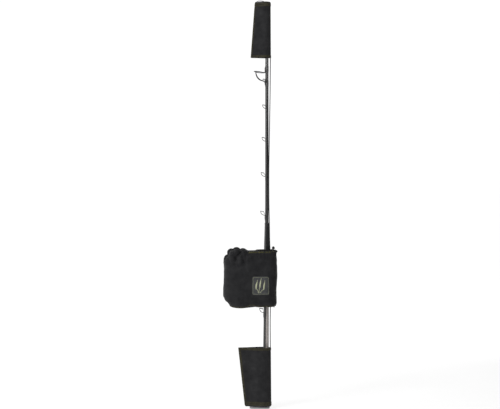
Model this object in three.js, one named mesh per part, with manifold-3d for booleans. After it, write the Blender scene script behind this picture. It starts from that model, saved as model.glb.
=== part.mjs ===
// Two-piece spinning rod packed for transport: both sections side by side in neoprene end caps,
// with the reel in a padded pouch. Millimetres, +Z up along the rod. The origin is on the butt
// section's axis, in the plane that the sole pad rests on. The guides and the reel face -X.
import * as THREE from 'three';
import { mergeVertices } from 'three/addons/utils/BufferGeometryUtils.js';
import Module from 'manifold-3d';

const wasm = await Module();
wasm.setup();

// ---- driving dimensions -------------------------------------------------------------------------

const GAP = 0.3;                      // clearance kept between touching pieces
const ROUND = 16;                     // facets on a round piece

const BLANK = { low: 14, high: 1395, lowR: 6.95, highR: 5.9 };
const SPIGOT = { length: 58, lowR: 4.7, highR: 4.2 };
const BUTT_CAP = { low: 11.4, high: 19.7, r: 10.9 };
const REAR_GRIP = { low: 20, high: 190, r: 10.8, waistR: 10.2, bore: 7.3 };
const SEAT = { low: 402, high: 557.6, r: 9.5, bore: 7.2 };
const HOOD = { r: 15.5, bore: 9.8, fixedLow: 408, fixedHigh: 440, slideLow: 510, slideHigh: 528 };
const NUT = { low: 528.3, high: 543, r: 13.6 };
const FORE_GRIP = { low: 558, high: 664, lowR: 10, highR: 7.8, bore: 6.95 };
const CHECK = { low: 664.3, high: 670, r: 8.6, bore: 6.9 };

const STRIPPER = { x: -28.2, z: 1214, r: 19.6, tilt: 8 };

const TIP = { low: 30, high: 1385, lowR: 5, highR: 1.4, lowX: -11.2, lowY: -23.5, leanX: 0.0113, leanY: 0.0085 };
const COLLAR = { low: 1, high: 46, wall: 1.0 };
const GUIDE_TILT = 8;
const LEG_R = 0.75;
// Running guides from the tip down: height up the rod, reach from blank axis to ring edge, ring radius.
const GUIDES = [
  { z: 1298, reach: 15, r: 4.9 },
  { z: 1187, reach: 17.4, r: 4.9 },
  { z: 1094, reach: 17.7, r: 4.9 },
  { z: 977, reach: 18.3, r: 5.2 },
  { z: 850, reach: 20.3, r: 6 },
  { z: 711, reach: 20.8, r: 6.6 },
  { z: 549, reach: 21, r: 7.2 },
  { z: 361.5, reach: 20.6, r: 7.8 },
];
const TIP_TOP = { reach: 11, r: 4.9 };

const REEL_X = -80;                   // spool axis, parallel to the rod
const AXLE = { x: -70, z: 447, r: 3 };
const BODY = { left: -100, right: -52, low: 420, high: 478, front: -22, back: 26, wall: 3 };
const SHAFT = { r: 2.2, low: 430.3, high: 540.7 };
const PIVOT_Z = 516;                  // height of the bail's hinge line
const BAIL_R = 40;
const BAIL_LEAN = 35;                 // degrees that the closed bail lies above the horizontal
const CRANK_R = 48;

const CAP_WALL = 2.6;
const TOP_CAP = { low: 1265, high: 1467, front: -22, back: 11, corner: 12 };
const TOP_CAP_WIDTH = { lowLeft: -58, lowRight: 14.5, highLeft: -43, highRight: 13.5 };
const BOTTOM_CAP = { low: 8, high: 220, front: -35, back: 16, corner: 15 };
const BOTTOM_CAP_WIDTH = { lowLeft: -79, lowRight: 16, highLeft: -103, highRight: 14.4 };
const SOLE = { left: -62, right: 10, front: -18, back: 10, high: 7.7 };
const TAB = { left: -37, right: -10, front: -8, back: 4, low: 1467.3, high: 1471.5 };

const POUCH_WALL = 4;
// Outer sections of the pouch, from its bottom hem to its mouth.
const POUCH = [
  { z: 366, left: -148, right: 35, front: -38, back: 72, corner: 26 },
  { z: 380, left: -156, right: 38, front: -46, back: 80, corner: 30 },
  { z: 470, left: -158, right: 38, front: -49, back: 82, corner: 32 },
  { z: 548, left: -155, right: 38, front: -47, back: 80, corner: 30 },
  { z: 570, left: -138, right: 35, front: -36, back: 66, corner: 26 },
];
const MOUTH = { left: -34, right: 24, front: -27, back: 26 };
const DRAW_CORD_R = 1.3;
const LOCK = { x: 24, z: 578, r: 5, low: 31, high: 47, bore: 3.9, depth: 9, button: 3.6 };

const ELASTIC_R = 1.5;
const ELASTIC = [
  [12.9, 0, 1264.6], [12.2, 0.4, 1200], [11.4, 0.8, 1120], [9.4, 2, 1003], [7.4, 3.8, 870],
  [7.5, 4, 750], [9.2, 6.4, 670], [10.4, 7.4, 600], [13.4, 11.6, 545], [14.4, 12, 500],
  [14.4, 12, 430], [13.6, 8, 385], [12.6, 3, 345], [12, 0.6, 300], [12.7, 0, 220.4],
];

// ---- general helpers ----------------------------------------------------------------------------

const finishes = {
  blank: { color: 0x6f6a66, roughness: 0.25, metalness: 0.1 },
  tip_blank: { color: 0x1b1b1d, roughness: 0.3, metalness: 0.1 },
  foam: { color: 0x1a1a1b, roughness: 0.9, metalness: 0 },
  rubber: { color: 0x262626, roughness: 0.8, metalness: 0 },
  sole: { color: 0x77777c, roughness: 0.7, metalness: 0 },
  neoprene: { color: 0x202022, roughness: 0.95, metalness: 0 },
  webbing: { color: 0x85818c, roughness: 0.9, metalness: 0 },
  cord: { color: 0x18181a, roughness: 0.8, metalness: 0 },
  plastic: { color: 0x1d1d20, roughness: 0.45, metalness: 0 },
  frame: { color: 0x2a2a2d, roughness: 0.35, metalness: 0.8 },
  ceramic: { color: 0x50525a, roughness: 0.2, metalness: 0 },
  steel: { color: 0xb4b6ba, roughness: 0.25, metalness: 1 },
  alloy: { color: 0x3a3c40, roughness: 0.35, metalness: 0.8 },
  brass: { color: 0xb08d4f, roughness: 0.35, metalness: 1 },
  line: { color: 0xa8b070, roughness: 0.5, metalness: 0 },
};

const model = new THREE.Group();
const tipSection = new THREE.Group();
model.add(tipSection);

function add(name, finish, geometry, parent = model) {
  const mesh = new THREE.Mesh(geometry, new THREE.MeshStandardMaterial(finishes[finish]));
  mesh.name = name;
  parent.add(mesh);
  return mesh;
}

function radians(degrees) {
  return degrees * Math.PI / 180;
}

// A turned piece round the Z axis. The profile is [radius, z] pairs, anticlockwise.
function turned(profile, facets = ROUND) {
  const points = profile.map(([r, z]) => new THREE.Vector2(r, z));
  const geometry = new THREE.LatheGeometry(points, facets);
  geometry.rotateX(Math.PI / 2);
  return geometry;
}

function plug(radii, heights, facets = ROUND) {
  const rim = radii.map((r, i) => [r, heights[i]]);
  return turned([[0, heights[0]], ...rim, [0, heights.at(-1)]], facets);
}

function sleeve(bore, radii, heights, facets = ROUND) {
  const rim = radii.map((r, i) => [r, heights[i]]);
  const inside = [[bore, heights.at(-1)], [bore, heights[0]]];
  return turned([...rim, ...inside, rim[0]], facets);
}

function block(left, right, front, back, low, high) {
  const geometry = new THREE.BoxGeometry(right - left, back - front, high - low);
  geometry.translate((left + right) / 2, (front + back) / 2, (low + high) / 2);
  return geometry;
}

// A round rod that follows a curve.
function rod(curve, radius, sides, steps) {
  const section = new THREE.Shape();
  for (let i = 0; i < sides; i += 1) {
    const angle = 2 * Math.PI * i / sides;
    const x = radius * Math.cos(angle);
    const y = radius * Math.sin(angle);
    if (i === 0) {
      section.moveTo(x, y);
    } else {
      section.lineTo(x, y);
    }
  }
  return new THREE.ExtrudeGeometry(section, { steps, extrudePath: curve });
}

function straight(from, to) {
  return new THREE.LineCurve3(new THREE.Vector3(...from), new THREE.Vector3(...to));
}

function smooth(points) {
  return new THREE.CatmullRomCurve3(points.map((point) => new THREE.Vector3(...point)));
}

// Points of a rectangle with round corners, anticlockwise seen from above.
function roundedRectangle(left, right, front, back, corner, arcSteps = 4) {
  const centres = [
    [right - corner, front + corner, -90],
    [right - corner, back - corner, 0],
    [left + corner, back - corner, 90],
    [left + corner, front + corner, 180],
  ];
  const points = [];
  for (const [x, y, start] of centres) {
    for (let i = 0; i <= arcSteps; i += 1) {
      const angle = radians(start + 90 * i / arcSteps);
      points.push(new THREE.Vector2(x + corner * Math.cos(angle), y + corner * Math.sin(angle)));
    }
  }
  return points;
}

// A closed skin through level sections that all have the same number of points.
function loft(sections) {
  const count = sections[0].points.length;
  const positions = [];
  for (const { z, points } of sections) {
    points.forEach((point) => positions.push(point.x, point.y, z));
  }
  const faces = [];
  for (let level = 0; level < sections.length - 1; level += 1) {
    for (let i = 0; i < count; i += 1) {
      const a = level * count + i;
      const b = level * count + (i + 1) % count;
      faces.push(a, b, b + count, a, b + count, a + count);
    }
  }
  const top = (sections.length - 1) * count;
  const lids = [[sections[0].points, 0, true], [sections.at(-1).points, top, false]];
  for (const [points, first, flipped] of lids) {
    for (const [a, b, c] of THREE.ShapeUtils.triangulateShape(points, [])) {
      faces.push(first + a, first + (flipped ? c : b), first + (flipped ? b : c));
    }
  }
  const geometry = new THREE.BufferGeometry();
  geometry.setAttribute('position', new THREE.Float32BufferAttribute(positions, 3));
  geometry.setIndex(faces);
  return geometry;
}

function toSolid(geometry) {
  const bare = geometry.clone();
  bare.deleteAttribute('normal');
  bare.deleteAttribute('uv');
  const merged = mergeVertices(bare, 1e-4);
  return new wasm.Manifold(new wasm.Mesh({
    numProp: 3,
    vertProperties: new Float32Array(merged.attributes.position.array),
    triVerts: new Uint32Array(merged.index.array),
  }));
}

function toGeometry(solid) {
  const mesh = solid.getMesh();
  const geometry = new THREE.BufferGeometry();
  geometry.setAttribute('position', new THREE.Float32BufferAttribute(mesh.vertProperties, 3));
  geometry.setIndex(Array.from(mesh.triVerts));
  return geometry;
}

function join(...geometries) {
  const solids = geometries.map(toSolid);
  return toGeometry(solids.reduce((sum, solid) => sum.add(solid)));
}

function cut(geometry, ...tools) {
  const solids = tools.map(toSolid);
  return toGeometry(solids.reduce((rest, tool) => rest.subtract(tool), toSolid(geometry)));
}

// ---- butt section -------------------------------------------------------------------------------

function blankRadius(z) {
  const part = (z - BLANK.low) / (BLANK.high - BLANK.low);
  return BLANK.lowR + part * (BLANK.highR - BLANK.lowR);
}

function addHandle() {
  add('butt_blank', 'blank', plug([BLANK.lowR, BLANK.highR], [BLANK.low, BLANK.high], 20));
  const spigotLow = BLANK.high + GAP;
  const spigotHigh = spigotLow + SPIGOT.length;
  add('joint_spigot', 'tip_blank', plug([SPIGOT.lowR, SPIGOT.highR], [spigotLow, spigotHigh]));

  const cup = [[0, BUTT_CAP.low], [BUTT_CAP.r - 2, BUTT_CAP.low], [BUTT_CAP.r, BUTT_CAP.low + 2],
    [BUTT_CAP.r, BUTT_CAP.high], [REAR_GRIP.bore, BUTT_CAP.high],
    [REAR_GRIP.bore, BLANK.low - GAP], [0, BLANK.low - GAP]];
  add('butt_cap', 'rubber', turned(cup));

  const gripRadii = [REAR_GRIP.r, REAR_GRIP.waistR, REAR_GRIP.waistR, REAR_GRIP.r, REAR_GRIP.r - 2];
  const gripHeights = [REAR_GRIP.low, REAR_GRIP.low + 60, REAR_GRIP.high - 60, REAR_GRIP.high - 14,
    REAR_GRIP.high];
  add('rear_grip', 'foam', sleeve(REAR_GRIP.bore, gripRadii, gripHeights));

  const foreRadii = [FORE_GRIP.lowR, FORE_GRIP.lowR, FORE_GRIP.highR];
  const foreHeights = [FORE_GRIP.low, FORE_GRIP.low + 30, FORE_GRIP.high];
  add('fore_grip', 'foam', sleeve(FORE_GRIP.bore, foreRadii, foreHeights));
  const checkRadii = [CHECK.r, CHECK.r - 1];
  add('winding_check', 'alloy', sleeve(CHECK.bore, checkRadii, [CHECK.low, CHECK.high]));
}

function addReelSeat() {
  add('reel_seat', 'plastic', sleeve(SEAT.bore, [SEAT.r, SEAT.r], [SEAT.low, SEAT.high]));

  const fixedRadii = [HOOD.r - 4, HOOD.r, HOOD.r];
  const fixedHeights = [HOOD.fixedLow, HOOD.fixedLow + 12, HOOD.fixedHigh];
  const fixedPocket = block(-14, -5, -7.6, 7.6, 429.5, HOOD.fixedHigh + 5);
  add('fixed_hood', 'alloy', cut(sleeve(HOOD.bore, fixedRadii, fixedHeights), fixedPocket));

  const slideHeights = [HOOD.slideLow, HOOD.slideHigh];
  const slidePocket = block(-14, -5, -7.6, 7.6, HOOD.slideLow - 5, 520.5);
  add('sliding_hood', 'alloy', cut(sleeve(HOOD.bore, [HOOD.r, HOOD.r - 1], slideHeights), slidePocket));

  const nutRadii = [NUT.r, NUT.r, NUT.r - 1.5];
  add('lock_nut', 'alloy', sleeve(HOOD.bore, nutRadii, [NUT.low, NUT.high - 4, NUT.high], 24));
}

// A guide's ring frame and the hard insert inside it, both tilted so the far edge lies nearer the tip.
function guideRing(radius, wall, height, centreX, centreZ, tilt) {
  const low = -height / 2;
  const high = height / 2;
  const frame = sleeve(radius - wall, [radius, radius], [low, high]);
  const insertOuter = radius - wall - 0.25;
  const insertBore = insertOuter - wall * 1.1;
  const insert = sleeve(insertBore, [insertOuter, insertOuter], [low - 0.3, high + 0.3]);
  for (const geometry of [frame, insert]) {
    geometry.rotateY(radians(tilt));
    geometry.translate(centreX, 0, centreZ);
  }
  return { frame, insert };
}

function addStripper() {
  const { x, z, r, tilt } = STRIPPER;
  const { frame, insert } = guideRing(r, 2, 2.6, x, z, tilt);
  const pieces = [frame];
  const footInner = -blankRadius(1165) - GAP;
  pieces.push(block(footInner - 1.9, footInner, -2.5, 2.5, 1165, 1185));
  pieces.push(block(footInner - 1.9, footInner, -2.5, 2.5, 1211, 1233));
  pieces.push(block(x + r - 1.2, footInner - 0.5, -3, 3, z - 2.9, z - 0.6));
  for (const side of [-1, 1]) {
    const leg = new THREE.QuadraticBezierCurve3(
      new THREE.Vector3(x - 11, side * (r - 3.8), z + 0.6),
      new THREE.Vector3(x - 7, side * 5, 1184),
      new THREE.Vector3(footInner - 1, side * 1.2, 1182.5),
    );
    pieces.push(rod(leg, 1.15, 6, 6));
  }
  add('stripper_frame', 'frame', join(...pieces));
  add('stripper_ring', 'ceramic', insert);
}

// ---- tip section, built along its own axis from its joint end ------------------------------------

const tipDirection = new THREE.Vector3(TIP.leanX, TIP.leanY, 1).normalize();
const tipLength = (TIP.high - TIP.low) / tipDirection.z;

function along(z) {
  return (z - TIP.low) / tipDirection.z;
}

function tipRadius(s) {
  return TIP.lowR + (s / tipLength) * (TIP.highR - TIP.lowR);
}

// Where a guide's leg meets the outside of its ring frame.
function legEnd(centreX, radius, side, s) {
  const out = radius + LEG_R - 0.25;
  return [centreX + 0.26 * out, side * 0.966 * out, s];
}

function addTipGuide(name, s, reach, radius) {
  const centreX = radius - reach;
  const { frame, insert } = guideRing(radius, 0.55, 1.6, centreX, s, GUIDE_TILT);
  const drop = 10 + 0.5 * radius;
  const footLength = 12 + radius;
  const seat = -tipRadius(s - drop - footLength) - GAP;
  const foot = block(seat - 1.2, seat, -1.3, 1.3, s - drop - footLength, s - drop);
  const pieces = [frame, foot];
  for (const side of [-1, 1]) {
    const start = [seat - 0.7, side * 0.5, s - drop - 0.8];
    const end = legEnd(centreX, radius, side, s);
    pieces.push(rod(straight(start, end), LEG_R, 6, 1));
  }
  add(`${name}_frame`, 'frame', join(...pieces), tipSection);
  add(`${name}_ring`, 'ceramic', insert, tipSection);
}

function addTipTop() {
  const { reach, r } = TIP_TOP;
  const centreX = r - reach;
  const top = tipLength + 4;
  const { frame, insert } = guideRing(r, 0.55, 1.6, centreX, top, GUIDE_TILT);
  const tubeR = 2.5;
  const tube = sleeve(1.8, [tubeR, tubeR], [tipLength - 12, tipLength - 0.5]);
  const pieces = [frame, tube];
  for (const side of [-1, 1]) {
    const start = [-0.6, side * 2.1, tipLength - 6];
    pieces.push(rod(straight(start, legEnd(centreX, r, side, top)), LEG_R, 6, 1));
  }
  add('tip_top_frame', 'frame', join(...pieces), tipSection);
  add('tip_top_ring', 'ceramic', insert, tipSection);
}

function addTipSection() {
  tipSection.position.set(TIP.lowX, TIP.lowY, TIP.low);
  tipSection.quaternion.setFromUnitVectors(new THREE.Vector3(0, 0, 1), tipDirection);
  add('tip_blank', 'tip_blank', plug([TIP.lowR, TIP.highR], [0, tipLength]), tipSection);
  const bore = TIP.lowR + GAP;
  const collarRadii = [bore + COLLAR.wall, bore + COLLAR.wall, bore + 0.5];
  const collarHeights = [COLLAR.low, COLLAR.high - 8, COLLAR.high];
  add('joint_collar', 'alloy', sleeve(bore, collarRadii, collarHeights), tipSection);
  GUIDES.forEach(({ z, reach, r }, i) => addTipGuide(`guide_${i + 1}`, along(z), reach, r));
  addTipTop();
}

// ---- reel ---------------------------------------------------------------------------------------

// Turns a piece made round +Z to lie along +Y, and moves it to a point.
function layAlongY(geometry, x, z) {
  geometry.rotateX(-Math.PI / 2);
  geometry.translate(x, 0, z);
  return geometry;
}

// A plate with round corners in the X-Z plane, from one depth to another.
function uprightPlate(left, right, low, high, corner, front, back) {
  const shape = new THREE.Shape(roundedRectangle(left, right, low, high, corner));
  const geometry = new THREE.ExtrudeGeometry(shape, { depth: back - front, bevelEnabled: false });
  geometry.rotateX(Math.PI / 2);
  geometry.translate(0, back, 0);
  return geometry;
}

function addReelBody() {
  const { left, right, low, high, front, back, wall } = BODY;
  const shell = uprightPlate(left, right, low, high, 12, front, back);
  const cavity = uprightPlate(left + wall, right - wall, low + wall, high - wall, 9, front - 5, back - wall);
  const axleHole = layAlongY(plug([6.5, 6.5], [0, back + 5]), AXLE.x, AXLE.z);
  const shaftHole = plug([8.8, 8.8], [high - 12, high + 5]);
  shaftHole.translate(REEL_X, 0, 0);

  const stemOutline = [[-53, 438], [-38, 440], [-26, 452], [-12, 458], [-12, 490], [-22, 484],
    [-36, 474], [-53, 472]];
  const stemShape = new THREE.Shape(stemOutline.map(([x, z]) => new THREE.Vector2(x, z)));
  const stem = new THREE.ExtrudeGeometry(stemShape, { depth: 11, bevelEnabled: false });
  stem.rotateX(Math.PI / 2);
  stem.translate(0, 5.5, 0);
  const foot = block(-13, -SEAT.r - GAP, -7, 7, 430, 520);
  add('reel_body', 'alloy', cut(join(shell, stem, foot), cavity, axleHole, shaftHole));

  const cover = uprightPlate(left, right, low, high, 12, front - 4.3, front - GAP);
  const bush = layAlongY(plug([4.5, 4.5], [front - 0.5, front + 5]), AXLE.x, AXLE.z);
  const bore = layAlongY(plug([AXLE.r + GAP, AXLE.r + GAP], [front - 2, front + 8]), AXLE.x, AXLE.z);
  add('side_cover', 'alloy', cut(join(cover, bush), bore));
}

function toothedDisc(teeth, tipR, rootR, depth) {
  const shape = new THREE.Shape();
  for (let i = 0; i < 2 * teeth; i += 1) {
    const r = i % 2 ? rootR : tipR;
    const angle = Math.PI * i / teeth;
    if (i === 0) {
      shape.moveTo(r, 0);
    } else {
      shape.lineTo(r * Math.cos(angle), r * Math.sin(angle));
    }
  }
  return new THREE.ExtrudeGeometry(shape, { depth, bevelEnabled: false });
}

function addReelGears() {
  const wheel = toothedDisc(40, 14, 12.6, 4);
  wheel.translate(0, 0, 7);
  const axle = plug([AXLE.r, AXLE.r], [BODY.front - 1.5, 37.7]);
  add('drive_gear', 'brass', layAlongY(join(wheel, axle), AXLE.x, AXLE.z));
  const race = sleeve(AXLE.r + GAP, [6.2, 6.2], [BODY.back - 3, BODY.back]);
  add('drive_bearing', 'steel', layAlongY(race, AXLE.x, AXLE.z));

  const pinionTeeth = toothedDisc(8, 5, 3.9, 16);
  pinionTeeth.translate(0, 0, 450);
  const neck = plug([4.6, 4.6], [465, 480.7]);
  const bore = plug([SHAFT.r + GAP, SHAFT.r + GAP], [445, 485], 12);
  const pinion = cut(join(pinionTeeth, neck), bore);
  pinion.translate(REEL_X, 0, 0);
  add('pinion', 'brass', pinion);
  const pinionRace = sleeve(4.9, [8.5, 8.5], [BODY.high - 3, BODY.high]);
  pinionRace.translate(REEL_X, 0, 0);
  add('pinion_bearing', 'steel', pinionRace);
}

function addRotor() {
  const cup = turned([[3, 481], [20, 481], [34, 488], [34, 500], [31, 500], [31, 489], [19, 484.5],
    [7, 484.5], [7, 492], [3, 492], [3, 481]], 24);
  const pieces = [cup];
  for (const side of [-1, 1]) {
    const inner = side * 31.5;
    const outer = side * 37;
    pieces.push(block(Math.min(inner, outer), Math.max(inner, outer), -7, 7, 489, PIVOT_Z + 5));
  }
  const rotor = join(...pieces);
  rotor.translate(REEL_X, 0, 0);
  add('rotor', 'alloy', rotor);
}

// A point of the bail: across the reel, and out from the hinge line.
function bailPoint(across, out) {
  const lean = radians(BAIL_LEAN);
  return [REEL_X + across, out * Math.cos(lean), PIVOT_Z + out * Math.sin(lean)];
}

// A round boss on the bail's hinge line, from one place across the reel to another.
function bailBoss(from, to, radius) {
  const boss = plug([radius, radius], [from, to], 12);
  boss.rotateY(Math.PI / 2);
  boss.translate(REEL_X, 0, PIVOT_Z);
  return boss;
}

function addBail() {
  const armBoss = bailBoss(-BAIL_R - 1.5, -37.3, 4.5);
  const armPlate = block(-BAIL_R - 1.5, -BAIL_R + 1.2, 0, 14, -3, 3);
  armPlate.rotateX(radians(BAIL_LEAN));
  armPlate.translate(REEL_X, 0, PIVOT_Z);
  add('bail_arm', 'alloy', join(armBoss, armPlate));

  const route = [[-38, 13.8], [-37.2, 14.6], [-31.5, 20.3], [-25, 30], [-13, 38], [0, 40.5], [14, 38.5],
    [28, 30], [37, 16], [39.4, 6], [39.5, 0]];
  const wire = rod(smooth(route.map(([across, out]) => bailPoint(across, out))), 1.1, 6, 22);
  add('bail_wire', 'steel', join(wire, bailBoss(37.3, BAIL_R + 1.5, 3.6)));

  const roller = sleeve(1.7, [3.3, 2.6, 3.3], [-2.6, 0, 2.6], 12);
  const axis = new THREE.Vector3(...bailPoint(1, 1)).sub(new THREE.Vector3(...bailPoint(0, 0))).normalize();
  roller.applyQuaternion(new THREE.Quaternion().setFromUnitVectors(new THREE.Vector3(0, 0, 1), axis));
  roller.translate(...bailPoint(-34.4, 17.4));
  add('line_roller', 'steel', roller);
}

function addSpool() {
  const shaft = plug([SHAFT.r, SHAFT.r], [SHAFT.low, SHAFT.high], 12);
  const slider = block(-6, 4, -5, 5, 424, SHAFT.low - GAP);
  const spool = turned([[3, 516], [27, 516], [27, 492], [29, 492], [29, 519], [18, 522], [18, 534],
    [26, 536], [26, 539], [3, 539], [3, 516]], 24);
  const line = sleeve(18.3, [24, 24.4, 24], [523.4, 528, 532.6], 24);
  const knob = plug([12, 12, 9], [540.9 + GAP, 546, 550], 20);
  const pieces = [['main_shaft', 'steel', shaft], ['stroke_slider', 'brass', slider],
    ['spool', 'alloy', spool], ['line', 'line', line], ['drag_knob', 'alloy', knob]];
  for (const [name, finish, geometry] of pieces) {
    geometry.translate(REEL_X, 0, 0);
    add(name, finish, geometry);
  }
}

function addCrank() {
  const hub = layAlongY(plug([6.5, 6.5], [38, 45]), AXLE.x, AXLE.z);
  const arm = uprightPlate(AXLE.x - 4.5, AXLE.x + 4.5, AXLE.z - CRANK_R - 4, AXLE.z + 4, 4, 39, 44);
  const pin = layAlongY(plug([2, 2], [43, 68], 10), AXLE.x, AXLE.z - CRANK_R);
  add('crank_arm', 'alloy', join(hub, arm, pin));
  const knob = sleeve(2 + GAP, [5, 7.5, 8, 6], [44.6, 50, 64, 69]);
  add('crank_knob', 'foam', layAlongY(knob, AXLE.x, AXLE.z - CRANK_R));
  add('anti_reverse_lever', 'plastic', block(-90, -86, -4, 4, 406, 418.6));
}

// ---- caps, pouch and cords ----------------------------------------------------------------------

// The space or skin of an end cap at one height, shrunk by an inset.
function capSection(cap, width, z, inset) {
  const part = (z - cap.low) / (cap.high - cap.low);
  const left = width.lowLeft + part * (width.highLeft - width.lowLeft) + inset;
  const right = width.lowRight + part * (width.highRight - width.lowRight) - inset;
  const points = roundedRectangle(left, right, cap.front + inset, cap.back - inset, cap.corner - inset);
  return { z, points };
}

function capShell(cap, width, openBelow) {
  const outer = loft([cap.low, cap.high].map((z) => capSection(cap, width, z, 0)));
  const ends = openBelow ? [cap.low - 5, cap.high - 3] : [cap.low + 3, cap.high + 5];
  const inner = loft(ends.map((z) => capSection(cap, width, z, CAP_WALL)));
  return cut(outer, inner);
}

function addCaps() {
  add('top_cap', 'neoprene', capShell(TOP_CAP, TOP_CAP_WIDTH, true));
  add('top_tab', 'webbing', block(TAB.left, TAB.right, TAB.front, TAB.back, TAB.low, TAB.high));
  add('bottom_cap', 'neoprene', capShell(BOTTOM_CAP, BOTTOM_CAP_WIDTH, false));
  const solePoints = roundedRectangle(SOLE.left, SOLE.right, SOLE.front, SOLE.back, 7);
  add('sole_pad', 'sole', loft([{ z: 0, points: solePoints }, { z: SOLE.high, points: solePoints }]));
}

function pouchSections(inset) {
  return POUCH.map(({ z, left, right, front, back, corner }, i) => {
    const ends = { 0: inset, [POUCH.length - 1]: -inset };
    const points = roundedRectangle(left + inset, right - inset, front + inset, back - inset,
      corner - inset);
    return { z: z + (ends[i] ?? 0), points };
  });
}

function addPouch() {
  const mouth = block(MOUTH.left, MOUTH.right, MOUTH.front, MOUTH.back, 355, 585);
  add('pouch', 'neoprene', cut(loft(pouchSections(0)), loft(pouchSections(POUCH_WALL)), mouth));
}

function addDrawCord() {
  const { left, right, front, back } = MOUTH;
  const z = POUCH.at(-1).z + DRAW_CORD_R + GAP;
  const out = DRAW_CORD_R + 1;
  const route = [
    [LOCK.x - 2.2, LOCK.low - 3 * GAP, LOCK.z - 1], [LOCK.x - 4, back - 9, z + 3], [right + out, 8, z],
    [right + out, -14, z], [right - 12, front - out, z], [-5, front - out, z], [left + 10, front - out, z],
    [left - out, -12, z], [left - out, 10, z], [left + 12, back + out, z], [-5, back + out, z],
    [LOCK.x - 8, back + out, z], [LOCK.x + 4, LOCK.low - 3.6, z + 4], [LOCK.x + 2.2, LOCK.low - 3 * GAP, LOCK.z - 1],
  ];
  add('draw_cord', 'cord', rod(smooth(route), DRAW_CORD_R, 6, 44));
}

function addCordLock() {
  const inner = LOCK.high - LOCK.depth;
  const barrel = turned([[0, LOCK.low], [LOCK.r, LOCK.low], [LOCK.r, LOCK.high], [LOCK.bore, LOCK.high],
    [LOCK.bore, inner], [0, inner]], 12);
  add('cord_lock', 'plastic', layAlongY(barrel, LOCK.x, LOCK.z));
  const button = plug([LOCK.button, LOCK.button], [inner + 4.5, LOCK.high + 4], 12);
  add('lock_button', 'plastic', layAlongY(button, LOCK.x, LOCK.z));
}

addHandle();
addReelSeat();
addStripper();
addTipSection();
addReelBody();
addReelGears();
addRotor();
addBail();
addSpool();
addCrank();
addCaps();
addPouch();
addDrawCord();
addCordLock();
add('elastic_cord', 'cord', rod(smooth(ELASTIC), ELASTIC_R, 8, 44));

export default model;
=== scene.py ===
import math

import bmesh
import bpy
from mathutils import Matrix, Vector, noise


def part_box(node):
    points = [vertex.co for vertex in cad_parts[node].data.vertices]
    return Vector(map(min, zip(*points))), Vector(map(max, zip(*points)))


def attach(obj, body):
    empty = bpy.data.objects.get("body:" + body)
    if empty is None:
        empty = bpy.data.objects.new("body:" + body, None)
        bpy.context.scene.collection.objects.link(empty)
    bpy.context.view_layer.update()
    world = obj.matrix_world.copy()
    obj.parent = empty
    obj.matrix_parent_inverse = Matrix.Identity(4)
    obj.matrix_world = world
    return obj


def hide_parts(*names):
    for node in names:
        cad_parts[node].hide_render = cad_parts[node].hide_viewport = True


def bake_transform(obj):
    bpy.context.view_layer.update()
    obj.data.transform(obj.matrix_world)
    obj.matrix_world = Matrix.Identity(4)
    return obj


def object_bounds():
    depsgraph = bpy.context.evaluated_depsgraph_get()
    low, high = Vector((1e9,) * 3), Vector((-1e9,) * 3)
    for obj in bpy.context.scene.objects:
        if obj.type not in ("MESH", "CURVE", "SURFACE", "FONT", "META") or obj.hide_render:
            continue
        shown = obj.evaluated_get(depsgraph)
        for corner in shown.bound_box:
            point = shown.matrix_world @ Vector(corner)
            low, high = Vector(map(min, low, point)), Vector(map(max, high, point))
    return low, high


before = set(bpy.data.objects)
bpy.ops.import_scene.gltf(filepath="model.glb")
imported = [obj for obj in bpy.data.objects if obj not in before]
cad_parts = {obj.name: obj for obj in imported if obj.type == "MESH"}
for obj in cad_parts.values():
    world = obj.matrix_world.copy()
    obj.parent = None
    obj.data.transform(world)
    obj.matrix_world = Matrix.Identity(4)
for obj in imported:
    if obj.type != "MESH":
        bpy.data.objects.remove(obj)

cad_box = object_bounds()
MM = 0.001
UP = Vector((0, 0, 1))


# ---- mesh helpers ---------------------------------------------------------------------------------

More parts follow.
